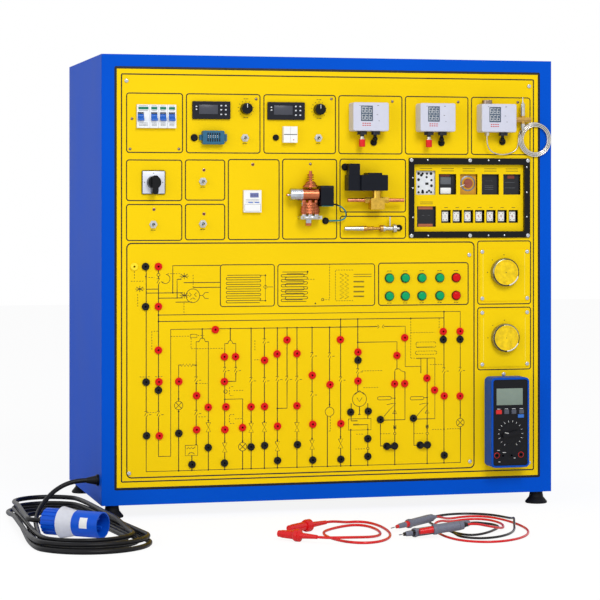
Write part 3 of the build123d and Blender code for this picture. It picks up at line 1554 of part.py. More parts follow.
def lead_end(tip, rear, profile):
    """Solid of revolution along a lead's end, from its tip to where the cord enters it."""
    tip = Vector(*tip)
    along = (Vector(*rear) - tip).normalized()
    length = (Vector(*rear) - tip).length
    side = along.cross(Vector(0, 0, 1)).normalized()
    with BuildPart() as body:
        with BuildSketch(Plane(origin=tip, x_dir=along, z_dir=side)):
            with BuildLine():
                outline = [(share * length, radius) for share, radius in profile]
                Polyline((0, 0), *outline, (length, 0), (0, 0))
            make_face()
        revolve(axis=Axis(tip, along))
    return body


def beyond(end, distance):
    """Point on a lead end's axis, this far past where the cord enters it."""
    tip, rear = Vector(*end[0]), Vector(*end[1])
    return tuple(rear + (rear - tip).normalized() * distance)


# Red patch lead: two turns on the floor between two plugs
plug_profile = [(0, 6), (0.09, 6.6), (0.09, 7), (0.42, 8), (0.42, 10), (0.46, 11.4), (0.55, 11.4),
                (0.55, 10), (0.6, 5.4), (1, 3.6)]
patch_ends = [((-158, -478, 11.4), (-72, -416, 11.4)), ((-190, -532, 11.4), (-134, -590, 11.4))]
with BuildPart() as patch_plugs:
    for tip, rear in patch_ends:
        add(lead_end(tip, rear, plug_profile).part)
save(patch_plugs, "patch_plugs")
patch_low = patch_diameter / 2
patch_points = [
    patch_ends[0][1], beyond(patch_ends[0], 14), (-40, -391, 8), (-19, -371, 3.4),
    (4, -360, patch_low),
    (22, -376, patch_low), (30, -420, patch_low), (29, -470, patch_low), (22, -522, patch_low),
    (6, -572, patch_low), (-20, -610, patch_low), (-52, -624, patch_low), (-80, -606, patch_low),
    (-96, -566, patch_low), (-101, -518, patch_low), (-92, -472, patch_low),
    (-68, -440, patch_low), (-40, -414, patch_low), (-12, -400, patch_low), (6, -416, patch_low),
    (12, -456, patch_low), (9, -500, patch_low), (-3, -542, 3.2), (-26, -574, 5.5),
    (-54, -596, 9), (-82, -612, 12), (-106, -616, 13), beyond(patch_ends[1], 16), patch_ends[1][1]]
save(cord_tube(patch_points, patch_diameter, "patch_lead"), "patch_lead")

# Test leads: a probe and a plug on each
probe_profile = [(0, 0.9), (0.13, 1.1), (0.13, 2.6), (0.2, 4.6), (0.4, 5.6), (0.4, 8), (0.44, 8.6),
                 (0.5, 7.4), (0.9, 7.6), (1, 6.8)]
jack_profile = [(0, 4.6), (0.02, 5), (0.3, 6), (0.3, 9.4), (0.36, 10), (0.42, 8.6), (0.9, 8.6),
                (1, 7.6)]
small_jack_profile = [(0, 4), (0.3, 5), (0.3, 6.6), (0.9, 6.4), (1, 5)]
red_probe = ((30, -500, 8.8), (128, -437, 16))
black_probe = ((20, -584, 8.8), (98, -550, 10.8))
red_jack = ((59, -584, 13.5), (141.6, -581.6, 22))
black_jack = ((148, -476, 5.6), (196, -452, 5.6))
with BuildPart() as test_probes:
    add(lead_end(*red_probe, probe_profile).part)
    add(lead_end(*black_probe, probe_profile).part)
    add(lead_end(*red_jack, jack_profile).part)
    add(lead_end(*black_jack, small_jack_profile).part)
save(test_probes, "test_probes")
test_low = test_diameter / 2
red_points = [
    red_probe[1], beyond(red_probe, 14), (156, -411, 12), (172, -386, 6), (192, -362, test_low),
    (218, -345, test_low), (244, -342, test_low), (266, -357, test_low), (279, -388, test_low),
    (286, -430, test_low), (288, -480, test_low), (283, -532, test_low), (268, -580, test_low),
    (244, -620, test_low), (212, -650, test_low), (176, -664, test_low), (143, -656, test_low),
    (119, -630, test_low), (109, -592, test_low), (108, -552, test_low), (110, -512, test_low),
    (117, -482, 5), (128, -459, 10), (147, -438, 10), (166, -418, 5), (186, -396, test_low),
    (212, -380, test_low), (238, -380, test_low), (254, -397, test_low), (261, -426, test_low),
    (260, -458, test_low), (250, -494, test_low), (235, -527, 5.5), (214, -554, 11),
    (190, -572, 17.5), (170, -580, 22.6), beyond(red_jack, 13), red_jack[1]]
black_points = [
    black_jack[1], beyond(black_jack, 15), (225, -441, 3.4), (240, -450, test_low),
    (245, -470, test_low), (240, -496, test_low), (224, -520, test_low), (205, -545, test_low),
    (184, -566, test_low), (165, -576, test_low), (150, -570, test_low), (141, -546, test_low),
    (136, -515, test_low), (134, -480, test_low), (133, -446, test_low), (133, -412, test_low),
    (138, -378, test_low), (152, -347, test_low), (174, -322, test_low), (203, -306, test_low),
    (234, -303, test_low), (264, -314, test_low), (286, -338, test_low), (297, -372, test_low),
    (298, -404, 4.5), (292, -432, 10), (282, -462, 10), (272, -490, 4.5), (262, -520, test_low),
    (246, -556, test_low), (222, -590, test_low), (192, -613, test_low), (162, -618, test_low),
    (141, -602, test_low), (133, -580, test_low), (133, -557, 4.2),
    beyond(black_probe, 22), black_probe[1]]
save(cord_tube(red_points, test_diameter, "test_lead_red"), "test_lead_red")
save(cord_tube(black_points, test_diameter, "test_lead_black"), "test_lead_black")
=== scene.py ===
"""Looks of the air conditioning trainer: a blue steel cabinet with a yellow printed panel, its
devices, its mains cable and its loose leads. Sizes in the sections are in millimetres."""
import bpy
import math
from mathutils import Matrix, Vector


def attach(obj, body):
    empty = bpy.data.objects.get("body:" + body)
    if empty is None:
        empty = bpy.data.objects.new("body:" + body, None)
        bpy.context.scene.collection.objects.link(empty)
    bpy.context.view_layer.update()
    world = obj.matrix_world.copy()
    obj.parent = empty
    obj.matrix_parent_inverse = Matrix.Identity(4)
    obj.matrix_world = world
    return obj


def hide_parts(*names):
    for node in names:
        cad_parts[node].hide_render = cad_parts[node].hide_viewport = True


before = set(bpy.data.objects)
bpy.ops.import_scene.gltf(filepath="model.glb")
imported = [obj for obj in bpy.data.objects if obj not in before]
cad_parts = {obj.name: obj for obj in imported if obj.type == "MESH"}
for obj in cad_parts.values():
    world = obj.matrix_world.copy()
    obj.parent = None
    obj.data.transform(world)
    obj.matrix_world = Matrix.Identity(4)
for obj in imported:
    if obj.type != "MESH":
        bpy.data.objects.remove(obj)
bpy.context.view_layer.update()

# ------------------------------------------------------------------------------------------
# Cabinet: folded and welded sheet steel, 1.5 mm, with a smooth blue enamel baked on. The
# rear cover is a separate louvred sheet with the same coat, screwed over the rear opening.


def paint(red, green, blue):
    """Colour as the eye reads it, 0 to 255, turned into light values."""
    return [(c / 255 / 12.92 if c <= 10 else ((c / 255 + 0.055) / 1.055) ** 2.4)
            for c in (red, green, blue)]


def maths(nodes, links, operation, left, right):
    """Result of a Math node on a socket and on a second socket or a number."""
    node = nodes.new("ShaderNodeMath")
    node.operation = operation
    links.new(left, node.inputs[0])
    if isinstance(right, float):
        node.inputs[1].default_value = right
    else:
        links.new(right, node.inputs[1])
    return node.outputs[0]


def mask_of(nodes, links, place, zone):
    """Socket that is 1 inside a zone of the piece, and 0 outside it. The zone is a box between
    two corners, a round column about a centre, or all that lies beyond a point."""
    kind, first, second = zone[:3]

    def vector(operation, left, right=None):
        node = nodes.new("ShaderNodeVectorMath")
        node.operation = operation
        links.new(left, node.inputs[0])
        if right is not None:
            node.inputs[1].default_value = right
        return node

    if kind == "box":
        middle = [(a + b) / 2000 for a, b in zip(first, second)]
        half = [(b - a) / 2000 for a, b in zip(first, second)]
        offset = vector("ABSOLUTE", vector("SUBTRACT", place, middle).outputs[0])
        over = nodes.new("ShaderNodeSeparateXYZ")
        links.new(vector("SUBTRACT", offset.outputs[0], half).outputs[0], over.inputs[0])
        widest = maths(nodes, links, "MAXIMUM", over.outputs[0], over.outputs[1])
        widest = maths(nodes, links, "MAXIMUM", widest, over.outputs[2])
        return maths(nodes, links, "LESS_THAN", widest, 0.0)
    offset = vector("SUBTRACT", place, [c / 1000 for c in first])
    if kind == "round":
        flat = vector("MULTIPLY", offset.outputs[0], (1, 0, 1))
        reach = vector("LENGTH", flat.outputs[0])
        return maths(nodes, links, "LESS_THAN", reach.outputs["Value"], second / 1000)
    reach = vector("DOT_PRODUCT", offset.outputs[0], second)
    return maths(nodes, links, "GREATER_THAN", reach.outputs["Value"], 0.0)


def finish(name, colour, rough, metal=0.0, mottle=0.05, patch=40, grain=0.02, fine=1.2,
           coat=0.0, specular=0.3, stretch=(1, 1, 1), zones=()):
    """Surface whose colour and gloss drift over patches, with a fine raised grain. A zone
    gives part of the piece another colour, roughness and metal."""
    material = bpy.data.materials.new(name)
    material.use_nodes = True
    nodes, links = material.node_tree.nodes, material.node_tree.links
    shader = nodes["Principled BSDF"]
    place = nodes.new("ShaderNodeTexCoord").outputs["Object"]
    spread = nodes.new("ShaderNodeMapping")
    spread.inputs["Scale"].default_value = stretch
    links.new(place, spread.inputs["Vector"])
    cloud = nodes.new("ShaderNodeTexNoise")
    cloud.inputs["Scale"].default_value = 1000 / patch
    cloud.inputs["Detail"].default_value = 5
    links.new(spread.outputs[0], cloud.inputs["Vector"])
    drift = nodes.new("ShaderNodeMapRange")
    for entry, value in (("From Min", 0.3), ("From Max", 0.7), ("To Min", 1 - mottle),
                         ("To Max", 1 + mottle / 2)):
        drift.inputs[entry].default_value = value
    links.new(cloud.outputs["Fac"], drift.inputs["Value"])
    gloss = nodes.new("ShaderNodeMath")
    gloss.operation = "MULTIPLY"
    links.new(drift.outputs[0], gloss.inputs[0])
    gloss.inputs[1].default_value = rough
    shade = nodes.new("ShaderNodeVectorMath")
    shade.operation = "SCALE"
    shade.inputs[0].default_value = paint(*colour)
    links.new(drift.outputs[0], shade.inputs["Scale"])
    for entry, value in (("Metallic", metal), ("Specular IOR Level", specular),
                         ("Coat Weight", coat), ("Coat Roughness", 0.12)):
        shader.inputs[entry].default_value = value
    for zone in zones:
        mask = mask_of(nodes, links, place, zone)
        zone_colour, zone_rough, zone_metal = zone[3:]
        for socket, value in ((shade.inputs[0], paint(*zone_colour)),
                              (gloss.inputs[1], zone_rough),
                              (shader.inputs["Metallic"], zone_metal)):
            mix = nodes.new("ShaderNodeMix")
            is_colour = socket == shade.inputs[0]
            mix.data_type = "RGBA" if is_colour else "FLOAT"
            sides = [s for s in mix.inputs if s.enabled and s.name in ("A", "B")]
            if socket.is_linked:
                links.new(socket.links[0].from_socket, sides[0])
            elif is_colour:
                sides[0].default_value = (*socket.default_value, 1)
            else:
                sides[0].default_value = socket.default_value
            sides[1].default_value = (*value, 1) if is_colour else value
            links.new(mask, next(s for s in mix.inputs if s.enabled and s.name == "Factor"))
            links.new(next(s for s in mix.outputs if s.enabled), socket)
    links.new(shade.outputs[0], shader.inputs["Base Color"])
    links.new(gloss.outputs[0], shader.inputs["Roughness"])
    pebble = nodes.new("ShaderNodeTexNoise")
    pebble.inputs["Scale"].default_value = 1000 / fine
    pebble.inputs["Detail"].default_value = 2
    links.new(spread.outputs[0], pebble.inputs["Vector"])
    relief = nodes.new("ShaderNodeBump")
    relief.inputs["Distance"].default_value = grain / 1000
    relief.inputs["Strength"].default_value = 0.6
    links.new(pebble.outputs["Fac"], relief.inputs["Height"])
    links.new(relief.outputs[0], shader.inputs["Normal"])
    return material


def dress(material, *names):
    """Gives CAD nodes this finish."""
    for name in names:
        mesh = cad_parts[name].data
        mesh.materials.clear()
        mesh.materials.append(material)


blue_enamel = finish("blue_enamel", (0, 80, 200), 0.5, patch=160, grain=0.03, fine=2.2,
                     specular=0.04)
dress(blue_enamel, "cabinet_shell", "rear_cover")

# ------------------------------------------------------------------------------------------
# Feet: bell-shaped black rubber, bolted under the cabinet's corners. The screws and bolts
# are bright zinc steel with domed heads and a hexagon recess.
foot_rubber = finish("foot_rubber", (16, 17, 22), 0.62, mottle=0.18, patch=14, grain=0.06,
                     fine=0.9, specular=0.15)
bright_zinc = finish("bright_zinc", (196, 200, 205), 0.24, metal=1.0, mottle=0.12, patch=6,
                     grain=0.01, fine=0.5)
dress(foot_rubber, "rubber_feet")
dress(bright_zinc, "fasteners")

# ------------------------------------------------------------------------------------------
# Front panel: 3 mm sheet with a smooth yellow coat, dropped into the cabinet's front frame.
# The outlines round the devices are screen printed in black and stand a tenth proud of it.
# Small pan-head screws hold the devices.
panel_yellow = finish("panel_yellow", (240, 203, 0), 0.42, mottle=0.03, patch=220, fine=1.6,
                      specular=0.1)
dress(panel_yellow, "front_panel")
black_ink = finish("black_ink", (17, 17, 16), 0.5, mottle=0.25, patch=3, grain=0.01, fine=0.4)
face_y = -194.25
ink_thickness = 0.2


def at(x, z, out=0.0):
    """Point this many millimetres before the panel's face, in metres."""
    return (x / 1000, (face_y - out) / 1000, z / 1000)


def alone(piece):
    """Only this piece is selected and active."""
    bpy.ops.object.select_all(action="DESELECT")
    piece.select_set(True)
    bpy.context.view_layer.objects.active = piece


def set_in(piece, material, body="trainer", smooth=35):
    """Last steps of a piece: its place goes into its mesh, then its finish and its body."""
    alone(piece)
    bpy.ops.object.transform_apply(location=True, rotation=True, scale=True)
    if smooth:
        bpy.ops.object.shade_smooth_by_angle(angle=math.radians(smooth))
    piece.data.materials.clear()
    piece.data.materials.append(material)
    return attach(piece, body)


def ink(name, strokes, width, closed=False, out=0.0, material=black_ink, body="trainer",
        flat=True):
    """Printed lines through lists of (x, z) points, pressed flat on the face below, or left
    as round beads."""
    curve = bpy.data.curves.new(name, "CURVE")
    curve.dimensions = "3D"
    curve.bevel_depth = width / 2000
    curve.bevel_resolution = 1
    curve.use_fill_caps = True
    for stroke in strokes:
        line = curve.splines.new("POLY")
        line.points.add(len(stroke) - 1)
        for point, (x, z) in zip(line.points, stroke):
            point.co = (*at(x, z, out), 1)
        line.use_cyclic_u = closed
    print_work = bpy.data.objects.new(name, curve)
    bpy.context.scene.collection.objects.link(print_work)
    alone(print_work)
    bpy.ops.object.convert(target="MESH")
    bpy.ops.object.mode_set(mode="EDIT")
    bpy.ops.mesh.select_all(action="SELECT")
    if flat:
        bpy.ops.transform.resize(value=(1, ink_thickness / width, 1),
                                 center_override=at(0, 0, out))
    bpy.ops.object.mode_set(mode="OBJECT")
    return set_in(bpy.context.object, material, body, smooth=0)


def arc(x, z, radius, start, end, steps=12):
    """Points round a circle from one angle to another, in degrees, from the right."""
    turns = [math.radians(start + (end - start) * i / steps) for i in range(steps + 1)]
    return [(x + radius * math.cos(t), z + radius * math.sin(t)) for t in turns]


def outline(left, right, low, high, radius):
    """Rectangle with rounded corners."""
    return (arc(right - radius, high - radius, radius, 0, 90, 5)
            + arc(left + radius, high - radius, radius, 90, 180, 5)
            + arc(left + radius, low + radius, radius, 180, 270, 5)
            + arc(right - radius, low + radius, radius, 270, 360, 5))


def bars(places, left, right):
    """Level strokes, from this far left of each place to this far right of it."""
    return [[(x + left, z), (x + right, z)] for x, z in places]


device_frames = [
    (-408.6, -299.4, 702.5, 816.5), (-291.7, -145.8, 702.5, 816.5), (-137.9, 6.4, 702.5, 816.5),
    (13.3, 142.7, 702.5, 816.5), (149.9, 280.1, 702.5, 816.5), (287.6, 411.3, 702.5, 816.5),
    (-408.8, -300.8, 610, 688), (-293.7, -216.1, 611, 688.6), (-408.8, -300.8, 533.3, 602.4),
    (-293.7, -216.1, 534.3, 602.8), (-208.9, -107.5, 534.3, 689.9), (-100.4, 8.8, 534.9, 691),
    (15.7, 150.1, 587.7, 691.7), (16.1, 150.1, 535.6, 579.2), (300.6, 412.5, 403.4, 529.4),
    (300.6, 412.5, 272.2, 396.4), (94.7, 280.5, 403.3, 486.6)]
ink("device_frame_print", [outline(*frame_box, 5) for frame_box in device_frames], 2.4,
    closed=True)
ink("border_print", [outline(-418.5, 418.5, 70, 853, 2), outline(-408.2, 292.9, 77.4, 527.7, 9)],
    2.8, closed=True)
# A black strip painted round the panel's edge is painted shadow: it stands in for the shade in the
# gap between the panel and the frame.
ink("painted_edge_gap_shadow", [outline(-430, 430, 56.5, 865.5, 1)], 5.4, closed=True, out=0.15)
toggle_labels = [(-176, 721), (-28.6, 722), (-259.5, 636), (-356.9, 553), (-259.5, 554)]
knob_x = {"temperature": -174, "humidity": -27}
label_places = toggle_labels + [(x, z) for x in knob_x.values() for z in (808, 771.5)]
label_places += [(x, z) for x in (116.6, 149.3, 183.7, 220.9, 255.1) for z in (471, 407.5)]
ink("device_labels", bars(label_places, -4.6, -0.8) + bars(label_places, 0.4, 4.6), 1.3)
pan_head = finish("pan_head", (150, 132, 118), 0.3, metal=1.0, mottle=0.2, patch=3, fine=0.4)


def block(name, x, z, width, height, low, high, edge=0.4, segments=2):
    """Box that stands on the panel from one height to another, with rounded edges."""
    bpy.ops.object.select_all(action="DESELECT")
    bpy.ops.mesh.primitive_cube_add(size=1, location=at(x, z, (low + high) / 2),
                                    scale=(width / 1000, (high - low) / 1000, height / 1000))
    piece = bpy.context.object
    piece.name = name
    bpy.ops.object.mode_set(mode="EDIT")
    bpy.ops.mesh.select_all(action="SELECT")
    bpy.ops.mesh.bevel(offset=edge / 1000, segments=segments, affect="EDGES")
    bpy.ops.object.mode_set(mode="OBJECT")
    return piece


def joined(name, pieces):
    """One piece from several."""
    bpy.ops.object.select_all(action="DESELECT")
    for piece in pieces:
        piece.select_set(True)
    bpy.context.view_layer.objects.active = pieces[0]
    bpy.ops.object.join()
    bpy.context.object.name = name
    return bpy.context.object


def disc(name, x, z, radius, low, high, edge=0.3, sides=32):
    """Round piece on the panel whose front rim is rounded."""
    bpy.ops.object.select_all(action="DESELECT")
    bpy.ops.mesh.primitive_cylinder_add(vertices=sides, radius=radius / 1000,
                                        depth=(high - low) / 1000,
                                        location=at(x, z, (low + high) / 2),
                                        rotation=(math.pi / 2, 0, 0))
    piece = bpy.context.object
    piece.name = name
    for face in piece.data.polygons:
        face.select = face.normal.z > 0.9
    bpy.ops.object.mode_set(mode="EDIT")
    bpy.ops.mesh.select_mode(type="FACE")
    bpy.ops.mesh.bevel(offset=edge / 1000, segments=2, affect="EDGES")
    bpy.ops.object.mode_set(mode="OBJECT")
    return piece


def dome(name, x, z, radius, rise, low=0.0):
    """Flattened half ball on the panel: a screw head, a rivet head or a small lens."""
    bpy.ops.object.select_all(action="DESELECT")
    bpy.ops.mesh.primitive_uv_sphere_add(segments=20, ring_count=10, radius=radius / 1000,
                                         location=at(x, z, low))
    piece = bpy.context.object
    piece.name = name
    bpy.ops.object.mode_set(mode="EDIT")
    bpy.ops.mesh.select_all(action="SELECT")
    bpy.ops.mesh.bisect(plane_co=at(x, z, low), plane_no=(0, 1, 0), clear_outer=True,
                        use_fill=True)
    bpy.ops.mesh.select_all(action="SELECT")
    bpy.ops.transform.resize(value=(1, rise / radius, 1), center_override=at(x, z, low))
    bpy.ops.object.mode_set(mode="OBJECT")
    return piece


module_screws = [(-398.3, 767.3), (-402, 709), (-306.5, 709.6), (-153.4, 807.9), (-1.8, 809.8),
                 (123, 806.2), (259.6, 806.7), (385.2, 807.6), (-44.4, 681.8)]
indicator_places = [(-257.3, 669.4), (-355.4, 593), (-257.3, 584.3), (-160.2, 680.3)]
head_rise = 1.6
heads = [dome("head", x, z, 2.9, head_rise) for x, z in module_screws]
set_in(joined("module_screw_heads", heads), pan_head)
crosses = []
for x, z in module_screws:
    crosses += [[(x - 1.5, z - 1), (x + 1.5, z + 1)], [(x + 1, z - 1.5), (x - 1, z + 1.5)]]
ink("screw_crosses", crosses, 0.55, out=head_rise - 0.02)
indicator_red = finish("indicator_red", (120, 40, 22), 0.22, mottle=0.1, patch=3, coat=0.4)
set_in(joined("indicators", [dome("indicator", x, z, 2.4, 2.0) for x, z in indicator_places]),
       indicator_red)
set_in(joined("indicator_rims", [disc("rim", x, z, 3.1, 0, 0.7) for x, z in indicator_places]),
       pan_head)

# ------------------------------------------------------------------------------------------
# Breakers: white moulded cases that clip on a rail behind, with blue levers. A green bar and
# fine grey lines are printed on each one. The rails are zinc-plated steel.
breaker_white = finish("breaker_white", (232, 235, 238), 0.42, mottle=0.04, patch=12, fine=0.8)
lever_blue = finish("lever_blue", (30, 96, 190), 0.3, mottle=0.06, patch=8, grain=0.01, fine=0.6)
zinc_rail = finish("zinc_rail", (176, 180, 184), 0.38, metal=1.0, mottle=0.15, patch=20)
dress(breaker_white, "breaker_bodies")
dress(lever_blue, "rccb_lever", "breaker_lever_1", "breaker_lever_2", "breaker_lever_3")
dress(zinc_rail, "din_rails")
green_print = finish("green_print", (20, 120, 92), 0.5, mottle=0.1, patch=3)
grey_print = finish("grey_print", (96, 100, 106), 0.5, mottle=0.15, patch=2)
breaker_z = 772
breaker_widths = [(-377.3, 24.6), (-356.2, 16.9), (-338.9, 16.9), (-321.6, 16.9)]
set_in(joined("breaker_marks",
              [block("mark", x, breaker_z + 15.5, width - 5, 5.2, 7.9, 8.15, 0.05, 1)
               for x, width in breaker_widths]), green_print)
set_in(joined("breaker_small_print",
              [block("line", x, breaker_z + dz, width - 7, 0.8, 7.95, 8.1, 0.03, 1)
               for x, width in breaker_widths for dz in (20, 10.8, -13, -15.5, -18)]), grey_print)

# ------------------------------------------------------------------------------------------
# Temperature and humidity controllers: black moulded fronts with a dark display window, six
# rubber keys, and a glossy black adjusting knob beside each over a printed scale.
black_case = finish("black_case", (18, 20, 30), 0.42, mottle=0.12, patch=9, grain=0.03, fine=0.7,
                    specular=0.2)
knob_black = finish("knob_black", (8, 9, 13), 0.25, mottle=0.1, patch=10, grain=0.005, fine=1.0,
                    specular=0.2)
display_glass = finish("display_glass", (66, 68, 78), 0.3, mottle=0.06, patch=18, grain=0.003,
                       fine=2.0)
key_rubber = finish("key_rubber", (214, 218, 224), 0.55, mottle=0.1, patch=4, fine=0.5)
white_ink = finish("white_ink", (235, 237, 238), 0.5, mottle=0.06, patch=2, grain=0.01, fine=0.4)
dress(black_case, "temperature_controllers")
dress(knob_black, "temperature_knob", "humidity_knob")


def ticks(x, z, inner, outer, angles):
    """Strokes that point at a centre, at angles in degrees from the right."""
    return [[(x + r * math.cos(math.radians(a)), z + r * math.sin(math.radians(a)))
             for r in (inner, outer)] for a in angles]


controller_z = 785
for number, x in enumerate((-243, -94), start=1):
    set_in(block(f"display_window_{number}", x - 6, controller_z + 1.5, 37.6, 18.2, 3.7, 4.5, 0.2),
           display_glass)
    keys = [block("key", x + dx, controller_z + dz, 3.4, 2.6, 4.6, 5.6, 0.5)
            for dx in (19, 28) for dz in (9, 1, -8)]
    set_in(joined(f"controller_keys_{number}", keys), key_rubber)
    ink(f"controller_marks_{number}", bars([(x, controller_z + dz) for dz in (7, 1.5)],
                                           -31.5, -28.5), 2.2, out=5.02, material=white_ink)
knob_z = 788.7
for name, x in knob_x.items():
    ink(f"{name}_scale", ticks(x, knob_z, 13.6, 16.2, range(-45, 226, 27)), 1.0)
    set_in(block(f"{name}_pointer", x, knob_z + 5.4, 1.1, 7.6, 14.9, 15.15, 0.08), white_ink,
           f"{name}_knob")

# ------------------------------------------------------------------------------------------
# Toggle switches and the cam switch: bright nickel bushes, nuts and bat levers. The cam switch
# has a black body, a silver square plate with its positions, and a black grip.
switch_nickel = finish("switch_nickel", (205, 207, 208), 0.2, metal=1.0, mottle=0.1, patch=7,
                       grain=0.006, fine=0.5,
                       zones=[("box", (-381, -200, 620), (-332, -190, 670), (20, 20, 22), 0.3,
                               0.0)])
dress(switch_nickel, "switch_bodies", *[f"toggle_lever_{n}" for n in range(1, 6)])
dress(knob_black, "cam_switch_handle")
plate_silver = finish("plate_silver", (214, 217, 228), 0.4, metal=0.25, patch=9, grain=0.006,
                      fine=0.35, stretch=(1, 1, 14))
cam_switch = (-356.5, 645)
set_in(block("cam_plate_face", *cam_switch, 43, 43, 2.9, 3.1, 0.06), plate_silver)
ink("cam_plate_marks", ticks(*cam_switch, 17, 18.6, (0, 90, 180)), 2.2, out=3.08)

# ------------------------------------------------------------------------------------------
# Meters on the panel: a white two-module energy meter with a small bluish display, a white
# plug-in module, and a teal sensor housing with slots. Domed black grommets let single wires
# through.
module_white = finish("module_white", (238, 239, 238), 0.4, mottle=0.04, patch=12, fine=0.8)
sensor_teal = finish("sensor_teal", (38, 96, 128), 0.45, mottle=0.1, patch=7, grain=0.03, fine=0.6)
dress(module_white, "din_modules")
dress(sensor_teal, "humidity_sensor")
dress(foot_rubber, "wire_grommets")
lcd_violet = finish("lcd_violet", (104, 112, 168), 0.3, mottle=0.06, patch=5, grain=0.002,
                    fine=1.0, coat=0.4)
set_in(block("energy_display", -158.8, 620.6, 17, 9, 7.8, 8.3, 0.15), lcd_violet)
ink("energy_digits", [[(-165 + 3 * i, 619), (-165 + 3 * i, 622.4)] for i in range(5)], 0.7,
    out=8.32)
ink("energy_print", bars([(0, z) for z in (612, 609.5, 607)], -176, -149)
    + [outline(-178, -146.5, 589.5, 603, 1.2) + [(-146.5, 601)]], 0.6, out=8.02,
    material=grey_print)
set_in(joined("energy_stripes", [block("stripe", x, 606.6, 9, 2, 7.9, 8.2, 0.08)
                                 for x in (-166.5, -153.5)]), lever_blue)
red_print = finish("red_print", (196, 28, 36), 0.45, mottle=0.1, patch=2)
module_print_out = 12.02
ink("module_print", [[(-100.5, 739), (-74, 739)]], 1.6, out=module_print_out)
ink("module_mark", [[(-82, 728.5), (-80, 728.5)]], 2.2, out=module_print_out, material=red_print)
slot_x = [-252 + 4.6 * i for i in range(6)]
set_in(joined("sensor_slots", [block("slot", x, 733.5 + dz, 2.6, 4.4, 13.8, 14.1, 0.06)
                               for x in slot_x for dz in (5.5, -6)]), black_case)
ink("sensor_print", bars([(x, z) for x in slot_x[:5] for z in (735.4, 732.6)], 0, 1.4), 1.3,
    out=14.05, material=white_ink)

# ------------------------------------------------------------------------------------------
# Pressure switches and thermostat: ivory sheet cases with a dark scale window. A dark neck and
# a red cap hang below the first two on the left, and a black conduit nut with its short black
# tail below each on the right. The other fittings are bright nickel.
case_ivory = finish("case_ivory", (202, 204, 219), 0.42, mottle=0.03, patch=14, fine=1.0)
window_slate = finish("window_slate", (84, 98, 116), 0.26, mottle=0.08, patch=9, grain=0.003,
                      fine=1.0)
dress(case_ivory, "pressure_switch_cases")
case_x = [70.5, 207.8, 335.2]
case_z = 774.5
case_print_out = 32.02
fitting_zones = []
for number, x in enumerate(case_x, start=1):
    window_x = x - 8.7
    set_in(block(f"scale_window_{number}", window_x, case_z + 6.5, 23.8, 29.9, 30.1, 30.7, 0.15),
           window_slate)
    figures = [outline(window_x + dx - 2.4, window_x + dx + 2.4, z - 5, z + 5, 0.6)
               + [(window_x + dx + 2.4, z), (window_x + dx - 2.4, z)]
               for dx in (-7.2, 0, 7.2) for z in (case_z + 13.4, case_z - 0.4)]
    ink(f"scale_figures_{number}", figures, 0.8, out=30.75, material=white_ink)
    ink(f"case_red_print_{number}",
        bars([(x + 4.6 * i, z) for i in range(4) for z in (case_z - 13, case_z - 17)],
             -18, -14.8), 2.0, out=case_print_out, material=red_print)
    grey_bars = [(11, 14, 4), (15, 17, -8), (-24, -22, 22), (12, 16, 22)]
    ink(f"case_print_{number}",
        [[(x + left, case_z + dz), (x + right, case_z + dz)] for left, right, dz in grey_bars],
        1.2, out=case_print_out, material=grey_print)
    if number < 3:
        fitting_zones += [
            ("box", (x - 24, -230, 736), (x - 4, -195, 750), (40, 40, 48), 0.3, 0.0),
            ("box", (x - 22, -230, 690), (x - 6, -195, 730.5), (222, 24, 28), 0.32, 0.0)]
    fitting_zones.append(("box", (x + 2, -230, 690), (x + 27, -195, 760), (26, 28, 38), 0.3, 0.0))
fitting_nickel = finish("fitting_nickel", (204, 200, 190), 0.28, metal=1.0, mottle=0.12, patch=6,
                        grain=0.01, fine=0.6, zones=fitting_zones)
dress(fitting_nickel, "pressure_fittings")
dress(pan_head, "thermostat_knob")
tail_x = [x + 13.8 for x in case_x]
set_in(joined("conduit_tails", [disc("tail", x, 731.5, 4.6, 6, 15, 2.0) for x in tail_x]
              + [block("neck", x, 740, 6.4, 12, 8, 14, 2.4, 4) for x in tail_x]), knob_black)

# ------------------------------------------------------------------------------------------
# Capillary, bulb and probe: a thin bright tube coiled flat, drawn steel sensing bulbs, and
# the brass fittings that hold them.
tube_steel = finish("tube_steel", (205, 202, 196), 0.24, metal=1.0, mottle=0.1, patch=8,
                    grain=0.008, fine=0.6)
probe_metal = finish(
    "probe_metal", (196, 196, 192), 0.26, metal=1.0, mottle=0.12, patch=6, grain=0.01, fine=0.5,
    zones=[("box", (370, -240, 764), (420, -190, 780), (200, 158, 84), 0.28, 1.0),
           ("box", (60, -240, 540), (100, -190, 572), (186, 142, 76), 0.28, 1.0)])
dress(tube_steel, "capillary_tube")
dress(probe_metal, "sensing_probes")

# ------------------------------------------------------------------------------------------
# Refrigerant valves: the four-way valve is brazed copper with a bright end and foot, and thin
# tube is wound round its pipes. The solenoid valve is a pressed brass body on copper stubs.
# Both have moulded coils, black and teal.
copper_pipe = finish("copper_pipe", (190, 108, 74), 0.26, metal=1.0, mottle=0.22, patch=7,
                     grain=0.015, fine=0.7,
                     zones=[
                         ("box", (-74, -230, 566), (-25, -190, 583), (186, 188, 190), 0.28, 1.0),
                         ("box", (-95, -230, 600), (-66, -190, 644), (190, 194, 202), 0.2, 1.0)])
solenoid_brass = finish("solenoid_brass", (214, 172, 70), 0.26, metal=1.0, mottle=0.16, patch=6,
                        grain=0.012, fine=0.6,
                        zones=[("box", (left, -240, 600), (right, -190, 622), (205, 128, 96),
                                0.26, 1.0) for left, right in ((20, 59), (109, 145))])
coil_black = finish("coil_black", (12, 16, 26), 0.36, mottle=0.12, patch=9, grain=0.03, fine=0.7,
                    specular=0.15,
                    zones=[("box", (-30, -260, 560), (24, -190, 600), (30, 128, 140), 0.4, 0.0)])
dress(copper_pipe, "reversing_valve")


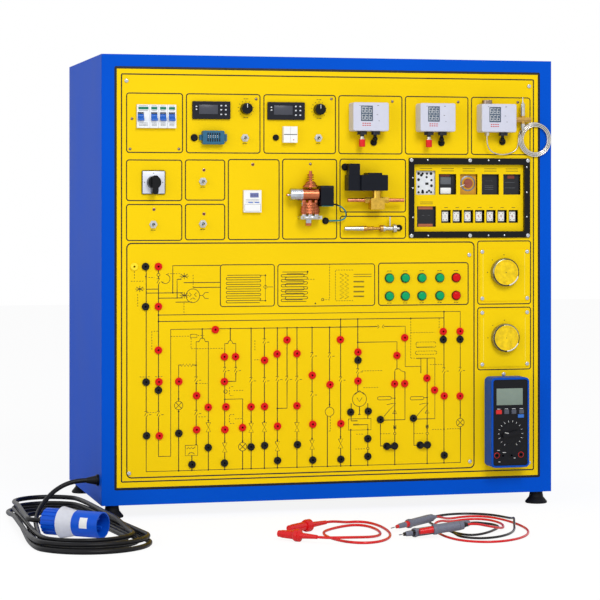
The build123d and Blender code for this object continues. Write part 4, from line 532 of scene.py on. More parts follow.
def winding(x, z, out, wide, deep, thin):
    """One turn of capillary tube round the pipes."""
    bpy.ops.object.select_all(action="DESELECT")
    bpy.ops.mesh.primitive_torus_add(major_segments=28, minor_segments=8,
                                     major_radius=wide / 1000, minor_radius=thin / 1000,
                                     location=at(x, z, out))
    bpy.ops.object.mode_set(mode="EDIT")
    bpy.ops.mesh.select_all(action="SELECT")
    bpy.ops.transform.resize(value=(1, deep / wide, 1), center_override=at(x, z, out))
    bpy.ops.object.mode_set(mode="OBJECT")
    return bpy.context.object


low_x, high_x, winding_out = -49.5, -48.7, 18
turns_low = [winding(low_x, 586 + 3.1 * i, winding_out, 18.5 + 0.6 * math.sin(i), 8.6, 1.2)
             for i in range(7)]
turns_high = [winding(high_x, 637 + 2.8 * i, winding_out, 15 - 2.2 * i, 9 - 0.8 * i, 1.2)
              for i in range(4)]
turns_pipe = [winding(high_x, 647 + 4.4 * i, winding_out, 6.2, 6.2, 0.9) for i in range(4)]
set_in(joined("capillary_windings", turns_low + turns_high + turns_pipe), copper_pipe, smooth=60)
bpy.ops.mesh.primitive_cylinder_add(vertices=40, radius=19 / 1000, depth=3.4 / 1000,
                                    location=at(low_x, 577, 19.4))
flange = bpy.context.object
flange.name = "valve_flange"
bpy.ops.object.mode_set(mode="EDIT")
bpy.ops.mesh.bevel(offset=0.8 / 1000, segments=2, affect="EDGES")
bpy.ops.object.mode_set(mode="OBJECT")
set_in(flange, bright_zinc)
dress(solenoid_brass, "solenoid_valve")
dress(coil_black, "valve_coils")

# ------------------------------------------------------------------------------------------
# Relay window: a black frame screwed and riveted on the panel, a yellow plate with cut-outs,
# and behind them the contactor, relays, overload, timer and a row of small relays.
window_black = finish("window_black", (14, 14, 16), 0.4, mottle=0.12, patch=20, fine=1.1,
                      specular=0.15)
dress(window_black, "relay_frame")
dress(panel_yellow, "relay_plate")


def front_zone(x, z, width, height, colour, rough=0.4, metal=0.0):
    """Zone of a device that shows through its cut-out."""
    return ("box", (x - width / 2, -200, z - height / 2), (x + width / 2, -100, z + height / 2),
            colour, rough, metal)


relay_cases = finish("relay_cases", (26, 27, 32), 0.42, mottle=0.08, patch=8,
                     fine=0.7, zones=[
                         front_zone(194.2, 646, 42, 50, (226, 230, 236)),
                         front_zone(284, 642.8, 38, 43, (206, 148, 30)),
                         front_zone(195.5, 597, 30, 8, (176, 104, 72), 0.35, 0.8),
                         front_zone(195.5, 560.5, 30, 7, (176, 104, 72), 0.35, 0.8)])
dress(relay_cases, "control_relays")
face_out = -13


def relay_face(name, places, width, height, material, out=face_out):
    """Flat detail on the fronts of the relays, at each place."""
    return set_in(joined(name, [block("face", x, z, width, height, out - 0.6, out + 0.5, 0.25)
                                for x, z in places]), material)


hole_black = finish("hole_black", (16, 16, 17), 0.6, mottle=0.1, patch=4)
hole_places = [(194.2 + dx, 646 + dz) for dx in (-13, -4.5, 4.5, 13) for dz in (18, -19)]
hole_places += [(181.2, 638), (181.2, 652), (189.5, 630), (203, 630), (208, 640), (208, 651),
                (198, 657), (187, 661)]
holes = [disc("hole", x, z, 2.3 if i % 3 else 2.9, face_out - 1, face_out + 0.3, 0.1)
         for i, (x, z) in enumerate(hole_places)]
set_in(joined("contactor_holes", holes), hole_black)
relay_face("contactor_lever", [(198.5, 644)], 6.5, 4.6, hole_black)
relay_face("relay_label", [(237.5, 650)], 22, 14, grey_print)
relay_face("relay_lower_label", [(237.5, 630)], 22, 12, module_white)
relay_face("relay_copper_top", [(236, 660.5)], 20, 4, indicator_red)
relay_face("relay_dark_side", [(253.5, 642.5)], 7, 38, hole_black, out=face_out + 0.5)
ring_grey = finish("ring_grey", (132, 134, 138), 0.3, metal=0.5, mottle=0.1, patch=5)
set_in(disc("timer_ring", 284, 644.8, 15.6, face_out - 0.5, face_out + 0.6, 0.3, 40), ring_grey)
timer_brown = finish("timer_brown", (148, 78, 60), 0.35, mottle=0.1, patch=5)
dress(timer_brown, "timer_dial")
ink("timer_pointer", [[(262, 637), (276, 642)]], 1.6, out=face_out + 4.2, material=white_ink,
    body="timer_dial")
ink("relay_print", bars([(320, z) for z in (640, 636.5, 633)], 0, 18)
    + bars([(322 + 4 * i, 650) for i in range(4)], 0, 1.5)
    + bars([(362, z) for z in (647, 636)], 0, 22) + bars([(188, 581)], 0, 5)
    + bars([(200, 581)], 0, 4), 0.8, out=face_out + 0.1, material=grey_print)
relay_face("relay_red_top", [(375, 658)], 15, 7, indicator_red)
small_places = [(236.2 + 23.65 * i, 578.7) for i in range(7)]
relay_face("small_relay_faces", small_places, 12.5, 19, module_white)
pin_offsets = [(-4.4, 6), (2.8, 6), (-4.4, -6.5), (2.8, -6.5), (-0.6, -1), (-0.6, 2.4)]
ink("small_relay_print",
    bars([(x + dx, z + dz) for x, z in small_places for dx, dz in pin_offsets], 0, 1.4), 1.7,
    out=face_out + 0.55)
ink("small_relay_marks", [[(x - 2.6, 580.5), (x + 1.6, 577)] for x, z in small_places[2:]], 1.1,
    out=face_out + 0.6, material=red_print)
relay_labels = [(x, z) for x in (194.2, 239.5, 284, 329.4, 375) for z in (674, 669.5)]
relay_labels += [(195.5, 607.5), (195.5, 603.8)]
plate_print_out = -5.97
ink("relay_labels", bars(relay_labels, -13, 13)
    + bars([(x, 596.5) for x, _ in small_places], -3.6, 3.6), 1.1, out=plate_print_out)
rivet_places = [(195.5, 691), (322.5, 690.8), (345, 690.6), (164.5, 655.5), (164.5, 635),
                (164.8, 577), (196.5, 540.8), (322.5, 540.8), (356, 541), (403.5, 677.5),
                (403.5, 627), (403.5, 578)]
set_in(joined("frame_rivets", [dome("rivet", x, z, 1.9, 1.1, 3) for x, z in rivet_places]),
       bright_zinc)

# ------------------------------------------------------------------------------------------
# Signal lamps: domed lenses of moulded green and red plastic in dark bezels of the same tint.
# A nut behind the panel holds each one.
lens_box = ("box", (90, -230, 400), (280, -197, 480))
for tone, bezel, lens in (("green", (20, 60, 50), (0, 160, 98)),
                          ("red", (80, 16, 18), (208, 8, 14))):
    dress(finish(f"{tone}_lens", bezel, 0.3, patch=5, grain=0.004, fine=1.0,
                 specular=0.15, zones=[(*lens_box, lens, 0.2, 0.0)]), f"{tone}_lamps")

# ------------------------------------------------------------------------------------------
# Wiring diagram: printed in black between the sockets. Switches, valves and lamps are drawn
# as symbols, and the coils of the two heat exchangers in two boxes above.
wires = [
    [(-370.5, 482.5), (-370.5, 88.5), (264.5, 88.5), (264.5, 159.5)],
    [(-346.5, 482.5), (-346.5, 117), (-322.5, 117), (-322.5, 361.5), (92.5, 361.5)],
    [(105.5, 361.5), (149.5, 361.5), (149.5, 281.5), (182, 281.5), (182, 297.5)],
    [(-346.5, 389.5), (264, 389.5), (264, 176.5)], [(-346.5, 377), (229.5, 377)],
    [(230, 389.5), (230, 88.5)], [(-371, 439.5), (-346.5, 439.5)],
    [(-371, 432), (-298.5, 432)], [(-346.5, 422), (-298.5, 422)],
    [(-318.5, 432), (-318.5, 484.5), (-224.5, 484.5)],
    [(-310, 421), (-310, 458), (-301.5, 458)], [(-297, 451.5), (-224.5, 451.5)],
    [(-278.5, 442), (-224.5, 442)], [(-313, 414), (-281, 414)],
    [(-307, 88.5), (-307, 292.5), (-301.5, 292.5)], [(-278.5, 292), (-272.5, 292)],
    [(-260.5, 361.5), (-260.5, 342.5)], [(-267, 337), (-272.5, 337), (-272.5, 137)],
    [(-254.5, 337), (-248.5, 337), (-248.5, 88.5)], [(-281, 117.5), (-281, 88.5)],
    [(-205, 361.5), (-205, 339)], [(-210, 332.5), (-216, 332.5), (-216, 289.5)],
    [(-200, 332.5), (-194, 332.5), (-194, 289)], [(-194, 289), (-194, 259), (-210, 259)],
    [(-216, 289), (-216, 224.5), (-180.5, 224.5), (-180.5, 88.5)], [(-216, 224.5), (-216, 88.5)],
    [(-163.5, 361.5), (-163.5, 88.5)], [(-137, 361.5), (-137, 88.5)],
    [(-111, 361.5), (-111, 88.5)], [(-91.5, 361.5), (-91.5, 204.5), (-111, 204.5)],
    [(-71.5, 361.5), (-71.5, 88.5)], [(-41, 361.5), (-41, 88.5)], [(-5.5, 361.5), (-5.5, 204)],
    [(-10, 187), (-10, 88.5)], [(17, 377), (17, 88.5)], [(52, 377), (52, 232.5)],
    [(52, 331), (132.5, 331), (132.5, 277.5)], [(128, 271.5), (128, 88.5)],
    [(149, 271.5), (149, 176.5), (99.5, 176.5)], [(98.5, 169.5), (98.5, 125.5), (105.5, 125.5)],
    [(172, 297.5), (211, 297.5), (211, 177), (167, 177)], [(195, 297), (195, 88.5)],
    [(167.5, 170.5), (167.5, 125), (175.5, 125)], [(38.5, 211), (38.5, 176.5), (51.5, 176.5)],
    [(72.5, 210.5), (72.5, 179.5)], [(54.5, 168.5), (72.5, 168.5), (72.5, 88.5)],
    [(37.5, 159), (37.5, 88.5)], [(55.5, 205), (55.5, 189)], [(52.5, 189), (58, 189)],
    [(182, 281.5), (182, 267.5)]]
dashed_wires = [
    [(-393.5, 474), (-393.5, 457.5)], [(-400.5, 455), (-376, 455)], [(-387, 430.5), (-387, 406.5)],
    [(-366, 462), (-354.5, 462)], [(-329, 469), (-301.5, 469)], [(-278.5, 466.5), (-278.5, 440)],
    [(-296.5, 412.5), (-296.5, 390)], [(-322.5, 348), (-284, 348)],
    [(-282.5, 344.5), (-282.5, 323.5), (-218.5, 323.5)], [(-269.5, 349), (-256.5, 349)],
    [(-272, 256), (-249.5, 256)], [(-268, 191.5), (-253.5, 191.5)], [(-198.5, 241), (-179.5, 241)],
    [(-196, 186), (-181.5, 186)], [(-157.5, 300), (-146, 300)], [(-156, 338), (-156, 317)],
    [(-383, 271), (-361.5, 271)], [(-353, 271), (-337.5, 271)], [(-369, 202), (-350.5, 202)],
    [(-347.5, 358.5), (-359.5, 358.5), (-359.5, 323)],
    [(-5.5, 486), (-5.5, 415.5), (-19, 415.5)], [(-50, 456), (-33.5, 456)],
    [(161, 376.5), (161, 298), (172, 298)], [(161, 348.5), (210.5, 348.5)],
    [(220, 376.5), (220, 354.5)], [(201, 284.5), (229.5, 284.5)], [(60.5, 274.5), (104, 274.5)],
    [(63.5, 241.5), (93.5, 241.5)], [(47, 121), (68, 121)], [(98.5, 149.5), (120.5, 149.5)],
    [(167.5, 148.5), (189, 148.5)], [(205.5, 155.5), (227, 155.5)], [(236.5, 156), (264, 156)],
    [(-4, 186), (-4, 158), (-9, 157)], [(48.5, 150), (65, 150)],
    outline(6.5, 43.3, 413.3, 473.6, 1), outline(-206.7, -198.5, 231.5, 248.7, 1),
    outline(-206.7, -196.2, 177.3, 194.6, 1), outline(172, 213, 319, 329.5, 3),
    outline(170.7, 214.9, 305, 311.6, 3)]
joints_of_wires = [
    (-371, 464), (-346.5, 389.5), (-346.5, 377), (-318.5, 432), (-260.5, 361.5), (-205, 361.5),
    (-163.5, 361.5), (-137, 361.5), (-111, 361.5), (-91.5, 361.5), (-71.5, 361.5),
    (-272.5, 291.5), (-272.5, 256.5), (-216, 224.5), (-111, 204.5), (-307, 227), (-307, 203),
    (-248.5, 184), (-272.5, 138), (-216, 143.5), (-180.5, 142.5), (-163.5, 180), (-137, 179.5),
    (-111, 142.5), (-307, 88.5), (-281, 88.5), (-248.5, 88.5), (-216, 88.5), (-180.5, 88.5),
    (-163.5, 88.5), (-137, 88.5), (-111, 88.5), (-71.5, 88.5), (-41, 361.5), (-5.5, 361.5),
    (17, 377), (17, 361.5), (52, 377), (52, 361.5), (52, 331), (161, 377), (230, 389.5),
    (-41, 144), (17, 145.5), (-5.5, 210), (-41, 88.5), (-10, 88.5), (17, 88.5), (37.5, 88.5),
    (72.5, 88.5), (128, 88.5), (195, 88.5), (230, 88.5), (37.5, 159), (72.5, 158.5),
    (128, 176.5), (195, 177), (128, 219.5), (195, 219.5), (230, 155.5), (264, 183), (264, 155.5),
    (-135, 464.5), (-135, 415), (-50, 471), (-34.5, 408.5)]
drawn_valves = [(-248.5, 171), (-216, 131), (-163.5, 168), (-137, 168.5), (-111, 130.5),
                (-71.5, 167), (-41, 132), (17, 132.5)]
drawn_switches = [
    (-272.5, 263.5), (-216, 281), (-194, 280.5), (-163.5, 260), (-137, 259.5), (-111, 261.5),
    (-91.5, 261.5), (-71.5, 261), (-272.5, 199), (-41, 306.5), (-5.5, 305.5), (17, 258),
    (-41, 230), (52, 273.5), (230, 272), (264, 272.5), (-370.5, 199), (-346.5, 198.5),
    (-346.5, 454), (-137, 335)]
drawn_lamps = [(-307, 214.5), (-180.5, 131.5), (264, 168)]
drawn_circles = [(-279, 426, 13.3), (55.5, 219, 14.4), (-5.5, 195.5, 8.9), (72.5, 121.5, 2.4),
                 (128, 149.5, 2.4), (195, 148, 2.4), (-346.5, 467, 2.9), (-19.5, 416, 2.4),
                 (-214.5, 239.5, 3.5)]


def broken(strokes, gaps):
    """Wires with a gap wherever an upright run passes a symbol."""
    kept = []
    for stroke in strokes:
        run = [stroke[0]]
        for (x0, z0), (x1, z1) in zip(stroke, stroke[1:]):
            inside = [(gx, gz, h) for gx, gz, h in gaps if x0 == x1 and abs(gx - x0) < 1.5
                      and min(z0, z1) < gz - h and gz + h < max(z0, z1)]
            down = 1 if z1 < z0 else -1
            for gx, gz, h in sorted(inside, key=lambda gap: -gap[1] * down):
                kept.append(run + [(x0, gz + h * down)])
                run = [(x0, gz - h * down)]
            run.append((x1, z1))
        kept.append(run)
    return kept


def dashes(strokes, dash=3.2, space=2.2):
    """The same strokes cut into dashes."""
    cut = []
    for stroke in strokes:
        for (x0, z0), (x1, z1) in zip(stroke, stroke[1:]):
            length = math.hypot(x1 - x0, z1 - z0)
            for i in range(int(length / (dash + space)) + 1):
                start = i * (dash + space)
                end = min(start + dash, length)
                if end - start > 0.5:
                    cut.append([(x0 + (x1 - x0) * t / length, z0 + (z1 - z0) * t / length)
                                for t in (start, end)])
    return cut


def serpentine(left, right, low, high, rows):
    """A coil's tube drawn to and fro, with round bends."""
    pitch = (high - low) / (rows - 1)
    path = []
    for i in range(rows):
        z = high - i * pitch
        path += [(left, z), (right, z)] if i % 2 == 0 else [(right, z), (left, z)]
        if i < rows - 1:
            side, turn = (right, -180) if i % 2 == 0 else (left, 180)
            path += arc(side, z - pitch / 2, pitch / 2, 90, 90 + turn, 4)[1:-1]
    return path


def starburst(x, z):
    """Four thin strokes through one point, where the diagram has a dense small symbol."""
    return [[(x - 7, z + 4), (x + 7, z - 4)], [(x - 7, z - 4), (x + 7, z + 4)],
            [(x - 9, z), (x + 9, z)], [(x, z - 6), (x, z + 6)]]


switch_half, valve_half, lamp_radius = 5.5, 9, 8.2
gaps = ([(x, z, switch_half) for x, z in drawn_switches]
        + [(x, z, valve_half) for x, z in drawn_valves]
        + [(x, z, lamp_radius) for x, z in drawn_lamps] + drawn_circles)
symbols = []
for x, z in drawn_valves:
    high, low = z + valve_half, z - valve_half
    symbols.append([(x - 4.6, high), (x + 4.6, high), (x - 4.6, low), (x + 4.6, low),
                    (x - 4.6, high)])
for x, z in drawn_switches:
    symbols += [[(x + 2.2, z + 6.4), (x - 3, z - 3.2)],
                [(x - 3.2, z + switch_half), (x + 0.4, z + switch_half)],
                [(x, z - switch_half), (x + 2.6, z - 1.5)], [(x + 5.5, z - 1), (x + 10, z - 1)]]
for x, z in drawn_lamps:
    symbols += [arc(x, z, lamp_radius, 0, 360, 24), [(x - 5.6, z - 5.6), (x + 5.6, z + 5.6)],
                [(x - 5.6, z + 5.6), (x + 5.6, z - 5.6)]]
symbols += [arc(*circle, 0, 360, 24) for circle in drawn_circles]
symbols += [[(-301.4 + 3.3 * i, 292 + (2.6 if i % 2 else -2.6)) for i in range(8)],
            [(-267, 337), (-264, 343), (-260.5, 344.5), (-257, 343), (-254.5, 337)],
            [(-210, 332.5), (-208, 337), (-205, 339), (-202, 337), (-200, 332.5)],
            [(128, 271.5), (129, 276), (133, 277.5), (137, 277.3), (142, 273), (149, 271.2)],
            [(92.5, 358), (96, 361), (92.5, 365)], [(105.5, 358), (102, 361), (105.5, 365)],
            [(-294, 137), (-269.5, 137), (-269.5, 117), (-294, 117), (-294, 137)],
            [(-291, 130), (-288, 133), (-285, 130), (-282, 133), (-279, 130), (-274, 134)],
            arc(-282, 116, 7, 150, 30, 8), arc(-333, 459, 9, 80, -150, 12),
            [(33, 180.4), (79, 180.4), (79, 158.2), (33, 158.2), (33, 180.4)],
            [(42.4, 169.8), (54.4, 169.8)], [(42.4, 168.2), (54.4, 168.2)],
            outline(92.6, 120.7, 216.6, 223, 3), outline(160.1, 188, 215.2, 221.6, 3),
            [(120.7, 219.5), (128, 219.5)], [(188, 219), (195, 219)],
            [(111.6, 206.7), (122, 209), (130.4, 209.2), (117, 196.4), (105.6, 183.6)],
            [(179, 205.7), (189.4, 208), (197.8, 208.2), (184.4, 195.4), (173, 182.6)],
            [(123.5, 188.8), (128, 196.7), (132, 188.8), (123.5, 188.8)],
            [(190.8, 188.3), (195.2, 196.2), (199.3, 188.3), (190.8, 188.3)],
            [(46, 228), (55.5, 236), (65, 228)], [(50, 222), (55.5, 214), (61, 222)],
            [(-284, 351.5), (-271, 351.5), (-271, 345), (-284, 345), (-284, 351.5)],
            [(-266, 426.4), (-259.5, 426.4), (-255.2, 432), (-248, 432)],
            [(-259.5, 426.4), (-255.2, 420.6), (-248, 420)],
            [(-286, 432), (-282, 428), (-286, 424)], [(-272, 432), (-276, 428), (-272, 424)],
            [(-284, 419), (-279, 422), (-274, 419)], [(172, 319.6), (207.5, 319.6)],
            [(-135, 445.6), (-131, 441.7), (-135, 437.8), (-139, 441.7), (-135, 445.6)],
            [(-131, 441.7), (-119.5, 441.7)], [(-146.4, 464.6), (-135, 464.6), (-135, 415),
                                                (-146.4, 415)]]
for x, z in ((-383, 440), (-296, 464), (-296, 427)):
    symbols += starburst(x, z)
for z in (150, 148):
    symbols += [[(x - 3, z + 12 + dz), (x, z + 9 + dz), (x + 3, z + 12 + dz)]
                for x in (128, 195) for dz in (0, 3.4)]
symbols += bars([(43.3, 465), (43.3, 460.5)], 0, 36.7)
symbols += bars([(43.3, z + dz) for z in (450.6, 440.5, 431, 421.5) for dz in (0.8, -0.8)],
                0, 21.6)
symbols += [[(15.5 + (8 if i % 2 else 0) + 10 * side, 417 + 4.1 * i) for i in range(13)]
            for side in (0, 1)]
exchanger_frames = [outline(-224.7, -117, 404.4, 485.4, 5), outline(-110, 86.6, 403.4, 485.4, 5)]
exchanger_coils = [serpentine(-211, -146.4, 411.5, 465, 13),
                   serpentine(-101, -52.4, 412.8, 470.5, 13),
                   serpentine(-92, -60, 416, 467, 9)]
ink("diagram_wires", broken(wires, gaps), 1.7)
ink("diagram_dashes", dashes(dashed_wires), 1.1)
ink("diagram_symbols", symbols, 1.25)
ink("exchanger_frame_print", exchanger_frames, 2.0, closed=True)
ink("exchanger_coil_print", exchanger_coils, 1.4)
ink("diagram_joints", [arc(x, z, 0.8, 0, 300, 5) for x, z in joints_of_wires], 2.3, closed=True)

# ------------------------------------------------------------------------------------------
# Sockets: 4 mm banana sockets with red and black moulded collars, one of them yellow for the
# earth, each nutted through the panel.
socket_red = finish("socket_red", (214, 12, 10), 0.3, mottle=0.06, patch=6, grain=0.01, fine=0.7,
                    coat=0.06, specular=0.15)
socket_black = finish("socket_black", (8, 8, 10), 0.3, mottle=0.1, patch=6, grain=0.01,
                      fine=0.7, coat=0.08, specular=0.2,
                      zones=[("box", (-404, -230, 473), (-384, -150, 493), (252, 224, 40), 0.3,
                              0.0)])
dress(socket_red, "red_sockets")
dress(socket_black, "black_sockets")

# ------------------------------------------------------------------------------------------
# Large dials: yellow square plates, screwed at the corners, with a crease near each side that is
# drawn as a pale line of painted highlight, and round metal knobs with a yellow face. The dark
# and bronze bands on their rim are painted reflections, and the pale band is a painted highlight.
# Pale yellow of the painted highlight that runs along each crease of the dial plates.
embossed_edge_highlight = finish("embossed_edge_highlight", (255, 232, 96), 0.4, patch=30)
dial_face = finish("dial_face", (241, 205, 0), 0.42, mottle=0.03, patch=60, specular=0.1)
dress(dial_face, "dial_bodies")
# Finishes of the painted reflections on the knobs' rims. The bronze one also colours the centre
# dot.
dark_rim_reflection = finish("dark_rim_reflection", (30, 28, 24), 0.2, mottle=0.2, patch=8, coat=0.3)
bronze_reflection_and_centre = finish("bronze_reflection_and_centre", (92, 84, 54), 0.24, metal=0.6, mottle=0.3, patch=6)
rim_reflection_arcs = {"upper_dial": (355.5, 467, (186, 284), (284, 342), (-18, 92)),
             "lower_dial": (356.5, 336, (104, 272), (272, 336), (-24, 14))}
for name, (x, z, dark, pale, bronze) in rim_reflection_arcs.items():
    dress(finish(f"{name}_face", (150, 146, 120), 0.22, metal=0.8, mottle=0.25, patch=10,
                 zones=[("round", (x, 0, z), 25.2, (241, 205, 0), 0.34, 0.0)]), name)
    # The dark and bronze bands are painted reflections and the pale band is a painted highlight.
    # They are laid round the rim and turn with the knob.
    for tone, span, tint in (("dark", dark, dark_rim_reflection), ("pale", pale, white_ink),
                             ("bronze", bronze, bronze_reflection_and_centre)):
        ink(f"{name}_{tone}_band", [arc(x, z, 25.8, *span, 20)], 3.2, out=14.5, material=tint,
            body=name, flat=False)
    ink(f"{name}_marks", ticks(x, z, 34, 35.6, (90, 135, 180)), 2.0, out=1.52)
    ink(f"{name}_centre", [arc(x, z, 0.5, 0, 300, 5)], 1.0, closed=True, out=14.82,
        material=bronze_reflection_and_centre, body=name)
    # Each crease is drawn only as a pale line of painted highlight, where light would catch it.
    for side in (-1, 1):
        crease_highlight = [(x + side * 44, z - 46), (x + side * 44, z + 40)]
        ink(f"{name}_crease_{2 + side}", [crease_highlight], 0.9, out=1.5, material=embossed_edge_highlight)

# ------------------------------------------------------------------------------------------
# Multimeter: a hand-held meter in a blue rubber boot, with a grey display, five keys, a turn
# switch over a ring of white marks, and four sockets at its foot.
boot_blue = finish("boot_blue", (4, 74, 178), 0.5, mottle=0.06, patch=18, grain=0.03, fine=0.9,
                   specular=0.12)
meter_black = finish("meter_black", (9, 10, 17), 0.4, mottle=0.1, patch=10, fine=0.7,
                     specular=0.2)
key_red = finish("key_red", (206, 40, 40), 0.4, mottle=0.06, patch=4)
key_grey = finish("key_grey", (76, 80, 94), 0.45, mottle=0.06, patch=4)
key_blue = finish("key_blue", (50, 110, 200), 0.42, mottle=0.06, patch=4)
dress(boot_blue, "multimeter_boot")
dress(meter_black, "multimeter_case", "meter_selector")
dress(key_red, "meter_power_key")
dress(key_grey, "meter_range_key", "meter_hold_key", "meter_light_key")
dress(key_blue, "meter_mode_key")
meter_lcd = finish("meter_lcd", (124, 140, 130), 0.2, patch=22, grain=0.002, fine=1.5, coat=0.1)
ring_red = finish("ring_red", (206, 26, 28), 0.32, mottle=0.08, patch=5, fine=0.5)
meter_print_out = 41.02
set_in(block("meter_display", 353.4, 221, 54.8, 33, 41, 41.5, 0.2), meter_lcd)
ink("meter_ring_marks", ticks(355.5, 147.5, 23, 26.5, range(-60, 241, 20)), 0.8,
    out=meter_print_out, material=white_ink)
ink("selector_line", [[(341, 150.6), (349, 148.9)]], 1.2, out=48.02, material=white_ink,
    body="meter_selector")
ink("meter_key_print", bars([(x, 196.9) for x in (330.8, 346.9, 362.2, 378.1)], -3.4, 3.4)
    + [[(328, 115), (333, 115)], [(339, 110.5), (346, 110.5)], [(362, 99), (366, 99)],
       [(330, 92), (334, 92)]], 1.1, out=meter_print_out, material=white_ink)
ink("meter_red_rings", [arc(x, z, 5.2, 0, 350, 20) for x, z in ((326.9, 105), (377.2, 105.5))],
    1.4, closed=True, out=meter_print_out, material=ring_red)

# ------------------------------------------------------------------------------------------
# Mains cable: 9 mm black rubber flex from the gland in the left wall, wound on the floor in
# one loose oval that fans out towards the viewer, and up to its plug, which is blue with a
# black sleeve, a pale band and a blank label.
cable_black = finish("cable_black", (12, 12, 16), 0.4, mottle=0.12, patch=12, fine=0.9,
                     specular=0.2)


def cord(name, points, diameter, material):
    """Round flexible cord through its route's control points, in millimetres."""
    curve = bpy.data.curves.new(name, "CURVE")
    curve.dimensions = "3D"
    curve.bevel_depth = diameter / 2000
    curve.bevel_resolution = 4
    curve.resolution_u = 6
    curve.use_fill_caps = True
    line = curve.splines.new("NURBS")
    line.points.add(len(points) - 1)
    for point, place in zip(line.points, points):
        point.co = (*[c / 1000 for c in place], 1)
    line.order_u = 3
    line.use_endpoint_u = True
    piece = bpy.data.objects.new(name, curve)
    bpy.context.scene.collection.objects.link(piece)
    curve.materials.append(material)
    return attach(piece, "trainer")


cable_diameter = 9
coil_circles = [
    (-547, -234, 42, 4.5), (-532, -456, 77, 4.5), (-546, -164, 54, 4.5), (-530, -484, 91, 4.5),
    (-547, -132, 65, 4.5), (-528.5, -516, 104.5, 4.5), (-547, -94, 76, 4.5),
    (-528.5, -502, 103.5, 14.3), (-547, -112, 67, 14.3), (-531, -470, 85, 14.3),
    (-545, -92, 66, 24.1), (-581, -352, 38, 29)]
plug_line = Vector((0.757, -0.653, 0)).normalized()


def belt(first, second):
    """Where a belt leaves one circle of the coil and where it meets the next."""
    (x0, y0, r0, _), (x1, y1, r1, _) = first, second
    along = math.atan2(y1 - y0, x1 - x0) - math.asin((r1 - r0) / math.hypot(x1 - x0, y1 - y0))
    side = (math.sin(along), -math.cos(along))
    return (x0 + r0 * side[0], y0 + r0 * side[1]), (x1 + r1 * side[0], y1 + r1 * side[1])


def coil_turns():
    """Control points of the coil: six round each end, three on each run between, on which it
    climbs, and a straight end that enters the plug."""
    points = []
    for number in range(1, len(coil_circles)):
        first, second = coil_circles[number - 1], coil_circles[number]
        leave, meet = belt(first, second)
        shares = (0.25, 0.45) if number == 1 else (0.03, 0.25, 0.45)
        points += [(leave[0] + (meet[0] - leave[0]) * share,
                    leave[1] + (meet[1] - leave[1]) * share,
                    first[3] if share < 0.1 else second[3]) for share in shares]
        x, y, radius, height = second
        start = math.atan2(meet[1] - y, meet[0] - x)
        if number < len(coil_circles) - 1:
            onward = belt(second, coil_circles[number + 1])[0]
            end = math.atan2(onward[1] - y, onward[0] - x)
        else:
            end = math.atan2(-plug_line.x, plug_line.y)
        if end < start:
            end += 2 * math.pi
        step = (end - start) / 6
        reach = radius / math.cos(step / 2)
        points += [(x + reach * math.cos(start + (i + 0.5) * step),
                    y + reach * math.sin(start + (i + 0.5) * step), height) for i in range(6)]
    last_x, last_y = x + radius * math.cos(end), y + radius * math.sin(end)
    points += [(last_x, last_y, height),
               (last_x + plug_line.x * 9, last_y + plug_line.y * 9, height)]
    return points


feed = [(-481, -159.25, 71), (-506, -159.25, 71), (-540, -168.25, 58), (-566, -189.25, 38),
        (-583, -219.25, 20), (-591, -251.25, 8)]
mains_cable = cord("mains_cable", feed + coil_turns(), cable_diameter, cable_black)
dress(cable_black, "cable_gland")
plug_start = Vector((-599.006, -386.652, 29))
plug_blue = (6, 84, 208)
plug_zones = [("beyond", plug_start + plug_line * along, plug_line, colour, rough, 0.0)
              for along, colour, rough in ((14, plug_blue, 0.4), (48, (214, 216, 226), 0.42),
                                           (78.2, plug_blue, 0.4))]
plug_plastic = finish("plug_plastic", (24, 24, 25), 0.4, mottle=0.06, patch=12,
                      fine=0.9, specular=0.2, zones=plug_zones)
dress(plug_plastic, "mains_plug")
plug_up = Vector((0, 0, 1))
plug_side = plug_line.cross(plug_up)
label_radius = 23.5
label_angles = [math.radians(a) for a in range(-12, 37, 8)]
label_corners = [(plug_start + plug_line * along
                  + (plug_side * math.cos(a) + plug_up * math.sin(a)) * label_radius) / 1000
                 for along in (96, 112) for a in label_angles]
row = len(label_angles)
label_faces = [(i, i + 1, row + i + 1, row + i) for i in range(row - 1)]
label_mesh = bpy.data.meshes.new("plug_label")
label_mesh.from_pydata(label_corners, [], label_faces)
plug_label = bpy.data.objects.new("plug_label", label_mesh)
bpy.context.scene.collection.objects.link(plug_label)
set_in(plug_label, module_white)
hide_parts("power_cable", "power_cable_coil")

# ------------------------------------------------------------------------------------------
# Patch lead: one glossy red lead of thin soft flex, with a moulded red plug on each end. It
# lies in two loose turns on the floor.
lead_red = finish("lead_red", (214, 16, 24), 0.26, mottle=0.06, patch=14, grain=0.006, coat=0.1)


def past(tip, rear, distance):
    """Point on a lead end's axis, this far past where the cord enters it."""
    along = (Vector(rear) - Vector(tip)).normalized()
    return tuple(Vector(rear) + along * distance)


first_plug = ((-158, -478, 11.4), (-72, -416, 11.4))
second_plug = ((-190, -532, 11.4), (-134, -590, 11.4))
low = 2.5
patch_route = [
    first_plug[1], past(*first_plug, 14), (-40, -391, 8), (-19, -371, 3.4), (4, -360, low),
    (22, -376, low), (30, -420, low), (29, -470, low), (22, -522, low), (6, -572, low),
    (-20, -610, low), (-52, -624, low), (-80, -606, low), (-96, -566, low), (-101, -518, low),
    (-92, -472, low), (-68, -440, low), (-40, -414, low), (-12, -400, low), (6, -416, low),
    (12, -456, low), (9, -500, low), (-3, -542, 3.2), (-26, -574, 5.5), (-54, -596, 9),
    (-82, -612, 12), (-106, -616, 13), past(*second_plug, 16), second_plug[1]]
patch_lead = cord("red_patch_lead", patch_route, 5, lead_red)
dress(lead_red, "patch_plugs")
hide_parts("patch_lead")

